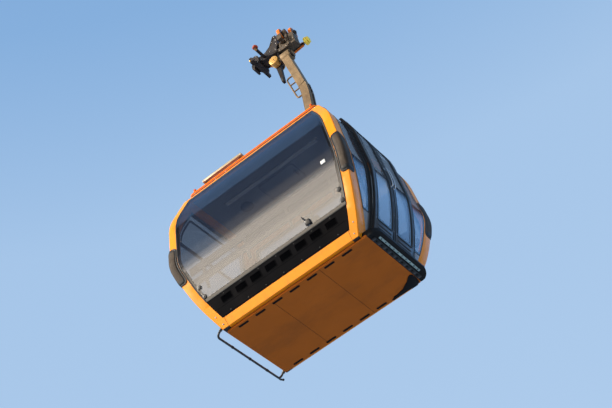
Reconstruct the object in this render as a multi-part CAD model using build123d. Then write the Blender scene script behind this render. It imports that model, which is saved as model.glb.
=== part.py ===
from build123d import *
import os
from math import tan, acos, sin, atan, cos, degrees

# Detachable gondola cabin with hanger and rope grip.
# Millimetres. Origin: centre of the haul rope in the grip's jaws.
# +X along the rope, door side towards -Y, +Z up.

os.makedirs("parts", exist_ok=True)

# ---------------------------------------------------------------- driving sizes
ROPE_R = 27.0            # haul rope radius in the jaws
CAB_Y = 157.0            # cabin centre line, sideways from the rope
RAIL_Z = -4112.0         # underside of the bottom rails, from the rope

# body outline, one row a corner of the two outlines:
# height above the rails' underside, half length (X), half width (Y), blend radius
BODY = [
    (0.0, 592.0, 949.0, 0.0),
    (462.0, 774.0, 1158.0, 2900.0),
    (962.0, 904.0, 1250.0, 750.0),
    (1673.0, 827.0, 1202.0, 850.0),
    (2145.0, 608.0, 1004.0, 144.0),
]
TOP_Z = BODY[-1][0]
WALL = 45.0              # depth of posts and rails
POST_X = 150.0           # corner post, width of its side face
POST_Y = 110.0           # corner post, width of its end face
CREASE_R = 14.0          # rounding of the posts' outer crease
GLASS_T = 8.0
PANEL_T = 20.0
RAIL_H = 105.0           # height of the bottom rails
END_GLASS_Z = (352.0, 2030.0)
SIDE_GLASS_Z = (430.0, 2030.0)
PAD_Z = (690.0, 1240.0)
PAD_T = 12.0

JAMB_X = (385.0, 455.0)  # door jamb, inner and outer edge from the centre
DOOR_TOP_Z = 1850.0
SILL_H = 60.0
LEAF_X = (4.0, 405.0)    # one door leaf, from the centre
LEAF_Z = (66.0, 1925.0)
LEAF_GAP = 20.0          # leaf stands off the body side by this
LEAF_T = 28.0
LEAF_GLASS_X = (50.0, 345.0)
LEAF_GLASS_Z = (300.0, 1800.0)
HANGERS_X = (65.0, 265.0)
DOOR_RAIL_X = 668.0      # half length of the channel the leaves run in
DOOR_RAIL_Z = 1903.0     # height of its centre line on the body side
DOOR_RAIL_H = 23.0       # half height
DOOR_RAIL_D = (1.0, 41.0)  # outer and inner face, below the body side

PAN_X, PAN_Y, PAN_T = 544.0, 929.0, 30.0
PAN_DOOR_Y = 1012.0      # the pan runs on under the step on the door side
STEP_X, STEP_Y = 540.0, 1145.0

ROOF_X, ROOF_Y = 582.0, 975.0
ROOF_Z = (2145.0, 2195.0, 2250.0)   # underside, brim top, crown top

SEAT_Z = 385.0
SEAT_FRONT_X = 300.0
SEATS = 5
SEAT_PITCH = 428.0

# hanger and grip, seen along the rope (Y, Z)
PIVOT_Z = -150.0
HEAD_Y = (-505.0, -370.0)
HEAD_R = 80.0
PIN_R = 35.0
RUN_CLEAR = 0.05
ARM_W, ARM_X, ARM_T = 108.0, 120.0, 10.0
ARM_PATH = [             # Y, Z, centre-line bend radius
    (-424.0, PIVOT_Z, 0.0),
    (-540.0, -940.0, 900.0),
    (-472.0, -1685.5, 420.0),
    (CAB_Y + 115.0, -1685.5, 0.0),
]
WHEEL_Z, WHEEL_R = 232.0, 85.0
WEB_Y = (-558.0, -528.0)     # the wheel carrier's web, between the two running wheels
WHEELS = [("rear", -55.0, -480.0, 1), ("front", 40.0, -599.0, -1)]      # name, X, Y, side of the web
JAW_C = (12.0, 98.0)     # jaw hinge line, Y and Z
JAW_LEN = 220.0

# ---------------------------------------------------------------- helpers
def corners_to_edges(rows):
    """Closed outline from corner rows (u, v, radius): lines and tangent arcs."""
    n = len(rows)
    spans = []
    for i in range(n):
        a, b, c = rows[i - 1], rows[i], rows[(i + 1) % n]
        B = Vector(b[0], b[1])
        if b[2] <= 0:
            spans.append((B, None, B))
            continue
        d1 = (Vector(a[0], a[1]) - B).normalized()
        d2 = (Vector(c[0], c[1]) - B).normalized()
        th = acos(max(-1.0, min(1.0, d1.dot(d2))))
        leg = b[2] / tan(th / 2)
        bis = (d1 + d2).normalized()
        cen = B + bis * (b[2] / sin(th / 2))
        spans.append((B + d1 * leg, cen - bis * b[2], B + d2 * leg))
    edges = []
    for i in range(n):
        t1, mid, t2 = spans[i]
        if mid is not None:
            edges.append(Edge.make_three_point_arc(t1, mid, t2))
        nxt = spans[(i + 1) % n][0]
        if (nxt - t2).length > 1e-6:
            edges.append(Edge.make_line(t2, nxt))
    return edges


def outline(rows):
    return Face(Wire(corners_to_edges(rows)))


def box(x0, x1, y0, y1, z0, z1):
    return Pos((x0 + x1) / 2, (y0 + y1) / 2, (z0 + z1) / 2) * Box(x1 - x0, y1 - y0, z1 - z0)


def rod_x(y, z, r, x0, x1):
    return Pos((x0 + x1) / 2, y, z) * Rot(0, 90, 0) * Cylinder(r, x1 - x0)


def rod_y(x, z, r, y0, y1):
    return Pos(x, (y0 + y1) / 2, z) * Rot(90, 0, 0) * Cylinder(r, y1 - y0)


def rod_z(x, y, r, z0, z1):
    return Pos(x, y, (z0 + z1) / 2) * Cylinder(r, z1 - z0)


def yz_plate(rows, x0, x1):
    """Outline in Y, Z extruded along X from x0 to x1."""
    face = Plane.YZ * outline(rows)
    return Pos((x0 + x1) / 2, 0, 0) * extrude(face, amount=(x1 - x0) / 2, both=True)


def xz_slab(rows, half):
    return extrude(Plane.XZ * outline(rows), amount=half, both=True)


def yz_slab(rows, half):
    return extrude(Plane.YZ * outline(rows), amount=half, both=True)


def mirrored(rows):
    return list(rows) + [(-u, v, r) for u, v, r in reversed(rows)]


def body_rows(col, inset, drop, foot):
    """Half outline moved in by inset, its top lowered by drop, run on below by foot."""
    rows = [(z, r[0], r[1], r[2]) for z, *r in BODY]
    pts = [(r[col] - inset, r[0], r[3]) for r in rows]
    if foot:
        slope = (pts[1][0] - pts[0][0]) / (pts[1][1] - pts[0][1])
        pts[0] = (pts[0][0] - slope * foot, -foot, 0.0)
    u, v, r = pts[-1]
    pts[-1] = (u, v - drop, r)
    return mirrored(pts)


def ends_slab(inset, drop=0.0, foot=0.0):
    return xz_slab(body_rows(1, inset, drop, foot), 1600)


def sides_slab(inset, drop=0.0, foot=0.0):
    return yz_slab(body_rows(2, inset, drop, foot), 1300)


def band(z0, z1):
    return box(-2000, 2000, -2000, 2000, z0, z1)


def half_x(sign):
    return box(0, 2000, -2000, 2000, -100, 3000) if sign > 0 else box(-2000, 0, -2000, 2000, -100, 3000)


def half_y(sign):
    return box(-2000, 2000, 0, 2000, -100, 3000) if sign > 0 else box(-2000, 2000, -2000, 0, -100, 3000)


def solids(shape):
    if isinstance(shape, (list, tuple, ShapeList)):
        out = []
        for s in shape:
            out += solids(s)
        return out
    return list(shape.solids())


PARTS = {}


def keep(name, *shapes, cabin=True):
    out = []
    for s in shapes:
        out += [q for q in solids(s) if q.volume > 50]
    if cabin:
        out = [q.moved(Location((0, CAB_Y, RAIL_Z))) for q in out]
    PARTS[name] = out


# ---------------------------------------------------------------- body shell
ends_0 = ends_slab(0)
sides_0 = sides_slab(0)
core = ends_0 & sides_0
hollow = ends_slab(WALL, WALL, 20) & sides_slab(WALL, WALL, 20)
between_ends = ends_slab(POST_X, -10, 20)      # between the posts, seen from the side
between_sides = sides_slab(POST_Y, -10, 20)    # between the posts, seen from the end
ring = core - hollow


def rounded_crease(solid, radius, z_top):
    """Fillet along the crease where the end face and the side face of a corner piece meet."""
    c = solid.center()
    sx, sy = (1 if c.X > 0 else -1), (1 if c.Y > 0 else -1)
    crease = []
    for e in solid.edges():
        m = e.position_at(0.5)
        inside = Vector(m.X - sx * 3, m.Y - sy * 3, m.Z - 1)
        past_end = Vector(m.X + sx * 2, m.Y - sy * 6, m.Z)
        past_side = Vector(m.X - sx * 6, m.Y + sy * 2, m.Z)
        if e.length > 60 and 5 < m.Z < z_top and solid.is_inside(inside):
            if not solid.is_inside(past_end) and not solid.is_inside(past_side):
                crease.append(e)
    return solid.fillet(radius, crease)


# the door side leans inwards at the rail: local axes along the surface and down into it
_, _, lower_y, _ = BODY[3]
_, _, upper_y, _ = BODY[4]
LEAN = atan((lower_y - upper_y) / (BODY[4][0] - BODY[3][0]))
RAIL_Y = lower_y - (DOOR_RAIL_Z - BODY[3][0]) * tan(LEAN)


def on_door_side(up, depth):
    return (-RAIL_Y + up * sin(LEAN) + depth * cos(LEAN), DOOR_RAIL_Z + up * cos(LEAN) - depth * sin(LEAN), 0)


def rod_in(x, r, d0, d1):
    """Round bar square to the door side at the rail, from depth d0 to depth d1."""
    y, z, _ = on_door_side(0, (d0 + d1) / 2)
    return Pos(x, y, z) * Rot(90 - degrees(LEAN), 0, 0) * Cylinder(r, d1 - d0)


h, (d0, d1) = DOOR_RAIL_H, DOOR_RAIL_D
pocket = yz_plate([on_door_side(*q) for q in ((-h, -5), (h, -5), (h, d1), (-h, d1))], -DOOR_RAIL_X, DOOR_RAIL_X)

posts = ring - between_ends - between_sides
keep("corner_posts", *[rounded_crease(q, CREASE_R, 2140) - pocket for q in solids(posts)])

pad = ((ends_slab(-PAD_T) & sides_slab(-PAD_T)) - core) & band(*PAD_Z)
pad = pad - ends_slab(POST_X - 12) - sides_slab(POST_Y - 8)
keep("bumper_pads", *[rounded_crease(q, CREASE_R + PAD_T, 2140) for q in solids(pad)])

low_ring = ring & band(0, RAIL_H)
rear_rail = low_ring & between_sides & half_x(-1)
front_rail = low_ring & between_sides & half_x(1)
side_rail = low_ring & between_ends & half_y(1)
keep("bottom_rails", rear_rail, front_rail, side_rail)
keep("door_sill", ring & band(0, SILL_H) & between_ends & half_y(-1))

top_ring = ring & band(END_GLASS_Z[1], TOP_Z)
end_ring = (top_ring & between_sides) - box(-458, 458, -2000, 2000, 2000, 2300)
side_ring = (top_ring & between_ends) - box(-2000, 2000, -840, 840, 2000, 2300)
top_rails = [end_ring & half_x(-1), end_ring & half_x(1), side_ring & half_y(1), side_ring & half_y(-1) & band(2076, TOP_Z)]
keep("top_rails", *top_rails)

# ---------------------------------------------------------------- windows and panels
end_skin = ends_0 - ends_slab(GLASS_T, 0, 20)
end_glass = end_skin & between_sides & band(*END_GLASS_Z)
keep("rear_window", end_glass & half_x(-1))
keep("front_window", end_glass & half_x(1))

end_board = (ends_0 - ends_slab(PANEL_T, 0, 20)) & between_sides & band(RAIL_H, END_GLASS_Z[0])
# vent slots: centre Y
VENTS = [-735 + 210 * i for i in range(8)]
for y in VENTS:
    end_board = end_board - box(-2000, 2000, y - 70, y + 70, 240, 312)
vent_back = (ends_slab(12, 0, 20) - ends_slab(PANEL_T, 0, 20)) & box(-2000, 2000, -806, 806, 236, 316)
end_board = end_board + vent_back
keep("rear_lower_panel", end_board & half_x(-1))
keep("front_lower_panel", end_board & half_x(1))

side_skin = sides_0 - sides_slab(GLASS_T, 0, 20)
side_board = sides_0 - sides_slab(PANEL_T, 0, 20)
keep("side_window", side_skin & between_ends & half_y(1) & band(*SIDE_GLASS_Z))
keep("side_lower_panel", side_board & between_ends & half_y(1) & band(RAIL_H, SIDE_GLASS_Z[0]))
vent_bar = (sides_slab(-10) - sides_0) & between_ends & half_y(1) & band(1500, 1545)
keep("vent_window_bar", vent_bar)

outer_x = [box(-2000, -JAMB_X[1], -2000, 0, 0, 3000), box(JAMB_X[1], 2000, -2000, 0, 0, 3000)]
keep("door_side_windows", *[side_skin & between_ends & band(330, DOOR_TOP_Z) & b for b in outer_x])
keep("door_side_panels", *[side_board & between_ends & band(SILL_H, 330) & b for b in outer_x])
jamb = (sides_0 - sides_slab(WALL, 0, 20)) & band(SILL_H, DOOR_TOP_Z)
keep("door_jambs", jamb & box(-JAMB_X[1], -JAMB_X[0], -2000, 0, 0, 3000),
     jamb & box(JAMB_X[0], JAMB_X[1], -2000, 0, 0, 3000))
header = (ring & between_ends & half_y(-1) & band(DOOR_TOP_Z, 2076)) - pocket
keep("door_header", header)

# ---------------------------------------------------------------- door
leaf_slab = (sides_slab(-LEAF_GAP - LEAF_T, 0, 20) - sides_slab(-LEAF_GAP, 0, 20))
pane_slab = (sides_slab(-LEAF_GAP - 18, 0, 20) - sides_slab(-LEAF_GAP - 10, 0, 20))
for name, s in (("rear", -1), ("front", 1)):
    xa, xb = sorted((s * LEAF_X[0], s * LEAF_X[1]))
    ga, gb = sorted((s * LEAF_GLASS_X[0], s * LEAF_GLASS_X[1]))
    leaf = leaf_slab & box(xa, xb, -2000, 0, *LEAF_Z)
    frame = leaf - box(ga, gb, -2000, 0, *LEAF_GLASS_Z)
    for hx in HANGERS_X:
        # carrier pin and the roller that runs in the door rail
        frame = frame + rod_in(s * hx, 6, -LEAF_GAP - LEAF_T / 2, 28) + rod_in(s * hx, 11, 14, 28)
    keep(name + "_door_leaf", frame)
    keep(name + "_door_glass", pane_slab & box(ga, gb, -2000, 0, *LEAF_GLASS_Z))

# channel that is open towards the leaves, closed at both ends
t, lip = 5, 12
channel = [(-h, d0), (-lip, d0), (-lip, d0 + t), (-h + t, d0 + t), (-h + t, d1 - t), (h - t, d1 - t), (h - t, d0 + t),
           (lip, d0 + t), (lip, d0), (h, d0), (h, d1), (-h, d1)]
rail = yz_plate([on_door_side(*q) for q in channel], -DOOR_RAIL_X, DOOR_RAIL_X)
cap = [on_door_side(*q) for q in ((-h, d0), (h, d0), (h, d1), (-h, d1))]
rail = rail + yz_plate(cap, -DOOR_RAIL_X, -DOOR_RAIL_X + t) + yz_plate(cap, DOOR_RAIL_X - t, DOOR_RAIL_X)
keep("door_rail", rail)

# ---------------------------------------------------------------- floor and step
pan = Pos(0, (PAN_Y - PAN_DOOR_Y) / 2, -PAN_T / 2) * extrude(RectangleRounded(2 * PAN_X, PAN_Y + PAN_DOOR_Y, 22), amount=PAN_T / 2, both=True)
# slots in the pan: centre Y
PAN_SLOTS = [-720 + 240 * i for i in range(7)]
for sy in PAN_SLOTS:
    for sx in (-1, 1):
        pan = pan - Pos(sx * 508, sy, -PAN_T) * Rot(0, 0, 90) * extrude(SlotOverall(130, 24), amount=16, both=True)
keep("floor_pan", pan)
deck = box(-545, 545, -902, 902, 0, SILL_H)
keep("floor_deck", deck & hollow)

step_rows = [(-PAN_DOOR_Y, -30, 0), (-1072, -30, 0), (-1116, -12, 0), (-STEP_Y, 16, 0), (-STEP_Y, 46, 0), (-STEP_Y + 6, 52, 0),
             (-949 - 52 * 209 / 462, 52, 0), (-949, 0, 0), (-PAN_DOOR_Y, 0, 0)]
step = yz_plate(step_rows, -STEP_X, STEP_X)
plan = outline([(-STEP_X, -900, 0), (STEP_X, -900, 0), (STEP_X, -STEP_Y, 120), (-STEP_X, -STEP_Y, 120)][::-1])
step = step & extrude(plan, amount=300, both=True)
keep("step_apron", step)
grille = box(-470, 470, -1067, -1019, -36, -30)
for i in range(9):
    grille = grille - rod_z(-400 + 100 * i, -1043, 13, -40, -20)
keep("step_grille", grille)

# guide tube under the closed side: route points X, Y, Z with bend radii between
TUBE_R = 13.0
tube_pts = [(-570, 962, 60), (-570, 1052, -24), (590, 1052, -24), (590, 962, 60)]
tube_path = FilletPolyline(*tube_pts, radius=45)
tube_end = Plane(origin=tube_path @ 0, z_dir=tube_path % 0)
tube = sweep(tube_end * Circle(TUBE_R), path=tube_path)
tube = tube - core
keep("guide_tube", tube)

# ---------------------------------------------------------------- roof
roof_x = mirrored([(ROOF_X, ROOF_Z[0], 0), (ROOF_X, ROOF_Z[1], 12), (400, ROOF_Z[2], 300)])
roof_y = mirrored([(ROOF_Y, ROOF_Z[0], 0), (ROOF_Y, ROOF_Z[1], 12), (700, ROOF_Z[2], 300)])
roof = xz_slab(roof_x, 1200) & yz_slab(roof_y, 900)
in_x = mirrored([(ROOF_X - 40, ROOF_Z[0] - 5, 0), (ROOF_X - 40, ROOF_Z[1] - 30, 0), (392, ROOF_Z[2] - 26, 0)])
in_y = mirrored([(ROOF_Y - 40, ROOF_Z[0] - 5, 0), (ROOF_Y - 40, ROOF_Z[1] - 30, 0), (692, ROOF_Z[2] - 26, 0)])
roof_block = roof
roof = roof - (xz_slab(in_x, 1200) & yz_slab(in_y, 900))
plan = extrude(RectangleRounded(2 * ROOF_X, 2 * ROOF_Y, 60), amount=3000)
keep("roof", roof & plan)
keep("ceiling", hollow & band(2070, 2095))

lugs = []
for sx in (-1, 1):
    for sy in (-1, 1):
        lugs.append(box(sx * 520 - 30, sx * 520 + 30, sy * 900 - 12, sy * 900 + 12, 2190, 2280) - roof_block)
keep("roof_lugs", *lugs)

PANEL_X, PANEL_Y, PANEL_Z = (-545, -245), (160, 760), (2292, 2317)
solar = box(*PANEL_X, *PANEL_Y, *PANEL_Z)
for lx in (-500, -275):
    for ly in (200, 720):
        solar = solar + (box(lx - 10, lx + 10, ly - 10, ly + 10, 2200, PANEL_Z[0] + 2) - roof_block)
keep("solar_panel", solar)

# ---------------------------------------------------------------- suspension on the roof
FRAME_Z = (2310.0, ARM_PATH[-1][1] - ARM_W / 2 - RAIL_Z)
susp = box(-240, 240, -45, 45, *FRAME_Z)
for sx in (-190, 190):
    susp = susp + box(sx - 40, sx + 40, -270, 270, *FRAME_Z)
keep("suspension_frame", susp)
keep("roof_dampers", *[rod_z(sx, sy, 45, ROOF_Z[2], FRAME_Z[0]) for sx in (-190, 190) for sy in (-220, 220)])

# ---------------------------------------------------------------- interior
inner = ends_slab(WALL + 2, WALL + 2, 20) & sides_slab(WALL + 2, WALL + 2, 20)
for name, s in (("rear", -1), ("front", 1)):
    xa, xb = sorted((s * SEAT_FRONT_X, s * 2000))
    shelf = inner & box(xa, xb, -2000, 2000, SEAT_Z, SEAT_Z + 40)
    xa, xb = sorted((s * SEAT_FRONT_X, s * (SEAT_FRONT_X + 30)))
    board = inner & box(xa, xb, -2000, 2000, SILL_H, SEAT_Z)
    keep(name + "_bench", shelf + board)
    cush, backs = [], []
    xa, xb = sorted((s * (SEAT_FRONT_X + 5), s * 690))
    for i in range(SEATS):
        y = (i - (SEATS - 1) / 2) * SEAT_PITCH
        c = box(xa, xb, y - 206, y + 206, SEAT_Z + 40, SEAT_Z + 95)
        cush.append(fillet(c.edges().filter_by(Axis.Z), 40))
    keep(name + "_seat_cushions", *cush)
    # backrest: two long bars on four uprights
    bx = s * 752
    back = box(bx - 14, bx + 14, -1090, 1090, 640, 740) + box(bx - 14, bx + 14, -1090, 1090, 820, 920)
    for uy in (-900, -300, 300, 900):
        back = back + (box(bx - 14, bx + 14, uy - 20, uy + 20, SEAT_Z + 40, 930) & inner)
    keep(name + "_backrest", back & inner)

keep("grab_poles", rod_z(-270, -860, 16, SILL_H, 2070), rod_z(270, -860, 16, SILL_H, 2070))

# ---------------------------------------------------------------- hanger
def ribbon(path, width):
    """Band of the given width about a bent centre line, as a closed outline."""
    left, right = [], []
    n = len(path)
    for i, (u, v, r) in enumerate(path):
        P = Vector(u, v)
        if i == 0:
            d = (Vector(*path[1][:2]) - P).normalized()
            nrm = Vector(-d.Y, d.X)
            k, turn = 1.0, 0.0
        elif i == n - 1:
            d = (P - Vector(*path[i - 1][:2])).normalized()
            nrm = Vector(-d.Y, d.X)
            k, turn = 1.0, 0.0
        else:
            d1 = (P - Vector(*path[i - 1][:2])).normalized()
            d2 = (Vector(*path[i + 1][:2]) - P).normalized()
            n1, n2 = Vector(-d1.Y, d1.X), Vector(-d2.Y, d2.X)
            nrm = (n1 + n2).normalized()
            k = 1.0 / nrm.dot(n1)
            turn = d1.X * d2.Y - d1.Y * d2.X
        h = width / 2
        rl = r - h if turn > 0 else r + h
        rr = r + h if turn > 0 else r - h
        if r == 0:
            rl = rr = 0
        q = P + nrm * (h * k)
        left.append((q.X, q.Y, rl))
        q = P - nrm * (h * k)
        right.append((q.X, q.Y, rr))
    return left + right[::-1]


arm = yz_slab(ribbon(ARM_PATH, ARM_W), ARM_X / 2)
inner_path = [(-455.0, -170.0, 0.0)] + ARM_PATH[1:-1] + [(ARM_PATH[-1][0] + 20, ARM_PATH[-1][1], 0.0)]
d = Vector(ARM_PATH[1][0] - ARM_PATH[0][0], ARM_PATH[1][1] - ARM_PATH[0][1]).normalized()
start = Vector(ARM_PATH[0][0], ARM_PATH[0][1]) + d * 100
inner_path[0] = (start.X, start.Y, 0.0)
arm = arm - yz_slab(ribbon(inner_path, ARM_W - 2 * ARM_T), ARM_X / 2 - ARM_T)
head = rod_y(0, PIVOT_Z, HEAD_R, *HEAD_Y)
arm = arm & box(-200, 200, -2000, 2000, -3000, PIVOT_Z)
arm = (arm + head) - rod_y(0, PIVOT_Z, PIN_R + RUN_CLEAR, HEAD_Y[0] - 20, HEAD_Y[1] + 20)
arm = arm - box(-200, 200, HEAD_Y[1], 0, PIVOT_Z - 90, PIVOT_Z + 90) - box(-200, 200, -800, HEAD_Y[0], PIVOT_Z - 90, PIVOT_Z + 90)
keep("hanger_arm", arm, cabin=False)

# climbing rail on the arm's inner side: Y, Z
RUNG_R = 11.0
rung_path = FilletPolyline((0, -470, -520), (0, -323, -520), (0, -392, -945), (0, -510, -945), radius=35)
rung_end = Plane(origin=rung_path @ 0, z_dir=rung_path % 0)
rung = sweep(rung_end * Circle(RUNG_R), path=rung_path)
for z in (-660, -803):
    rung = rung + rod_y(0, z, 9, -500, -323 - (-520 - z) * 69 / 425)
arm_solid = yz_slab(ribbon(ARM_PATH, ARM_W), ARM_X / 2)
keep("climbing_rail", rung - arm_solid, cabin=False)

# ---------------------------------------------------------------- grip
C = JAW_C
jaw_block = [(-90, -24, 8), (-13, -24, 0), (0, 0, 0), (5, 62, 0), (40, 70, 6), (40, 118, 16), (16, 140, 16),
             (-60, 140, 20), (-90, 110, 20)]
fixed = yz_plate(jaw_block, -JAW_LEN / 2, JAW_LEN / 2)
fixed = fixed - box(-66, 66, 3, 90, -60, 160) - rod_x(C[0], C[1], 38, -66, 66)
# slim tongues that lead the rope in at both ends
tongue = yz_plate([(-50, -20, 5), (-14, -24, 0), (0, 0, 0), (3, 48, 0), (-30, 52, 12), (-50, 30, 10)], -200, 200)
fixed = fixed + tongue
fixed = fixed - rod_x(0, 0, ROPE_R, -300, 300)
fixed = fixed - rod_x(C[0], C[1], 18 + RUN_CLEAR, -300, 300)
beam_rows = [(-60, 20, 0), (-250, 4, 30), (-364, -20, 0), (-364, 70, 0), (-398, 112, 10), (-398, 298, 14), (-352, 298, 14), (-268, 168, 40), (-180, 116, 60),
             (-60, 120, 0)]
beam = yz_plate(beam_rows, -70, 70)
trunnion = rod_y(0, PIVOT_Z, PIN_R, -512, -338) + rod_y(0, PIVOT_Z, 52, -532, -511)
carrier = rod_y(0, PIVOT_Z, 62, -364, -338) + box(-62, 62, -364, -338, PIVOT_Z, 40)
web = box(-80, 66, WEB_Y[0], WEB_Y[1], -40, WHEEL_Z) + box(-62, 62, -640, -364, -40, 22) + box(-54, 54, -640, -398, 22, 130)
# guard plates before the lower half of each wheel
web = web + box(-158, -148, -513, -445, 60, 150) + box(-158, -50, -513, -445, 60, 70) + box(-66, -56, -640, -566, 0, 150)
for name, wx, wy, side in WHEELS:
    web = web + rod_y(wx, WHEEL_Z, 44, WEB_Y[0], WEB_Y[1])
    y0 = WEB_Y[1] if side > 0 else WEB_Y[0]
    a, b = sorted((y0, wy - side * 31))
    web = web + rod_y(wx, WHEEL_Z, 36, a, b)
    a, b = sorted((y0, wy + side * 34))
    web = web + rod_y(wx, WHEEL_Z, 25, a, b)
    a, b = sorted((wy + side * 31, wy + side * 43))
    web = web + rod_y(wx, WHEEL_Z, 32, a, b)
grip = (fixed + beam) - rod_x(0, 0, ROPE_R, -300, 300)
# wheel carrier and hanger pin stand out of the frame's upright plate
keep("wheel_carrier", web - beam, cabin=False)
keep("hanger_pin", (trunnion + carrier) - beam, cabin=False)
# guide roller brackets at both ends: sign, roller's distance along the rope, bracket's underside
GUIDES = [("rear", -1, 262, 36), ("front", 1, 300, 104)]
for name, s, gx, gz in GUIDES:
    xa, xb = sorted((s * 60, s * (gx + 18)))
    bracket = box(xa, xb, -180, -144, gz, gz + 25)
    bracket = bracket + rod_z(s * gx, -162, 9, gz + 16, gz + 72) + rod_z(s * gx, -162, 20, gz + 68, gz + 76)
    keep(name + "_guide_bracket", bracket - beam, cabin=False)
keep("grip_frame", grip, cabin=False)

# spring canister across the frame, on two saddles
CAN_Y, CAN_Z, CAN_R = -268, -125, 55
canister = rod_x(CAN_Y, CAN_Z, CAN_R, 10, 92)
for sx in (28, 72):
    canister = canister + box(sx - 16, sx + 16, -302, -234, CAN_Z, 20)
keep("spring_canister", canister - beam, cabin=False)
keep("spring_caps", rod_x(CAN_Y, CAN_Z, 66, -86, 10), rod_x(CAN_Y, CAN_Z, 62, 92, 108), cabin=False)
# lower guide: a tapered arm below the canister
lower = yz_plate([(-306, CAN_Z, 0), (-230, CAN_Z, 0), (-250, -488, 12), (-286, -488, 12)], 12, 56)
keep("lower_guide", lower - rod_x(CAN_Y, CAN_Z, CAN_R, 0, 95), cabin=False)

# moving jaw with its hinge pin and operating lever
claw = [(11, 60, 0), (-6, 78, 0), (12, 128, 20), (38, 112, 14), (60, 62, 14), (60, 4, 14), (44, -24, 8), (17, -24, 0), (10, -10, 0)]
jaw = yz_plate(claw, -60, 60) + rod_x(C[0], C[1], 30, -60, 60)
jaw = jaw - rod_x(0, 0, ROPE_R, -300, 300)
jaw = jaw - (box(-300, 300, -40, 9, -60, 66))
lever_rows = [(36, 84, 10), (36, 112, 12), (14, 128, 16), (-40, 118, 40), (-440, 44, 200), (-672, 58, 4), (-672, 12, 4), (-450, -8, 200), (-44, 78, 40)]
lever = yz_plate(lever_rows, 118, 138)
stub = rod_y(128, 45, 12, -750, -660) + rod_y(128, 45, 20, -757, -742)
pin = rod_x(C[0], C[1], 18, -122, 138) + rod_x(C[0], C[1], 28, -130, -116)
keep("moving_jaw", jaw + pin + lever + stub, cabin=False)

# rollers and wheels: name, axis, centre, radius, width, bore, rim groove
def roller(axis, c, r, w, bore):
    x, y, z = c
    if axis == "y":
        s = rod_y(x, z, r, y - w / 2, y + w / 2) - rod_y(x, z, bore, y - w, y + w)
    else:
        s = rod_z(x, y, r, z - w / 2, z + w / 2) - rod_z(x, y, bore, z - w, z + w)
    return s


keep("control_roller", roller("y", (128, -709, 45), 58, 54, 12 + RUN_CLEAR), cabin=False)
for name, wx, wy, side in WHEELS:
    bore = rod_y(wx, WHEEL_Z, 25 + RUN_CLEAR, wy - 60, wy + 60)
    wheel = rod_y(wx, WHEEL_Z, 42, wy - 26, wy + 26) + rod_y(wx, WHEEL_Z, WHEEL_R - 22, wy - 20, wy + 20)
    keep(name + "_running_wheel", wheel - bore, cabin=False)
    tyre = rod_y(wx, WHEEL_Z, WHEEL_R, wy - 24, wy + 24) - rod_y(wx, WHEEL_Z, WHEEL_R - 22, wy - 30, wy + 30)
    keep(name + "_wheel_tyre", tyre, cabin=False)
keep("rear_guide_roller", roller("z", (-262, -162, 81), 38, 36, 9 + RUN_CLEAR), cabin=False)
keep("front_guide_roller", roller("z", (300, -162, 149), 38, 36, 9 + RUN_CLEAR), cabin=False)

# ---------------------------------------------------------------- write
for name, group in PARTS.items():
    shape = group[0] if len(group) == 1 else Compound(group)
    export_step(shape, "parts/" + name + ".step")
    print(name, len(group), "solids", round(sum(q.volume for q in group) / 1e6, 3), "dm3")
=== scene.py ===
import math
import random

import bmesh
import bpy
from mathutils import Matrix, Vector, kdtree


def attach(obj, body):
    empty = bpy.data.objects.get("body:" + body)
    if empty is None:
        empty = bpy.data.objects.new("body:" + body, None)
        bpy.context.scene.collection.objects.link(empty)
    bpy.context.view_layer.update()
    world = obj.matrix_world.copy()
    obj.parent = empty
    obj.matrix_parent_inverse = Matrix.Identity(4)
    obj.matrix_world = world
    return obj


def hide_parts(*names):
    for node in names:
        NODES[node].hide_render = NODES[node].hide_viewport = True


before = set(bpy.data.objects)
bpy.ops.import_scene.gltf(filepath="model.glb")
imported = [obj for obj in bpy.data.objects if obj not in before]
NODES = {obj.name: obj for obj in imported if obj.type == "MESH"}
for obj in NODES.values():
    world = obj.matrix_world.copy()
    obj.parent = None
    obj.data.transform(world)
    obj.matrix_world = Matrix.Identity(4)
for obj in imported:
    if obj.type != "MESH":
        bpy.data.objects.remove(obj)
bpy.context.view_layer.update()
random.seed(11)

CY, RZ = 0.157, -4.112          # cabin centre line and rail underside in the row frame

# ------------------------------------------------------------------ materials
MATS = {}


def nt(mat):
    t = mat.node_tree
    b = t.nodes["Principled BSDF"]
    return t, b


def link(t, a, ao, b, bi):
    t.links.new(a.outputs[ao], b.inputs[bi])


def coords(t, scale):
    tc = t.nodes.new("ShaderNodeTexCoord")
    mp = t.nodes.new("ShaderNodeMapping")
    mp.inputs["Scale"].default_value = scale if hasattr(scale, "__len__") else (scale,) * 3
    link(t, tc, "Object", mp, "Vector")
    return mp


def noise(t, scale, detail=3.0, rough=0.55, stretch=(1, 1, 1)):
    n = t.nodes.new("ShaderNodeTexNoise")
    n.inputs["Scale"].default_value = scale
    n.inputs["Detail"].default_value = detail
    n.inputs["Roughness"].default_value = rough
    link(t, coords(t, stretch), "Vector", n, "Vector")
    return n


def ramp(t, src, out, stops):
    r = t.nodes.new("ShaderNodeValToRGB")
    els = r.color_ramp.elements
    while len(els) < len(stops):
        els.new(0.5)
    for e, (p, c) in zip(els, stops):
        e.position = p
        e.color = (*c, 1) if len(c) == 3 else c
    link(t, src, out, r, "Fac")
    return r


def mixc(t, fac, fo, a, b, mode="MIX"):
    m = t.nodes.new("ShaderNodeMix")
    m.data_type = "RGBA"
    m.blend_type = mode
    if fac is None:
        m.inputs["Factor"].default_value = fo
    else:
        link(t, fac, fo, m, "Factor")
    for i, v in ((6, a), (7, b)):
        if isinstance(v, tuple) and len(v) == 2:
            t.links.new(v[0].outputs[v[1]], m.inputs[i])
        else:
            m.inputs[i].default_value = (*v, 1)
    return m


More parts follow.
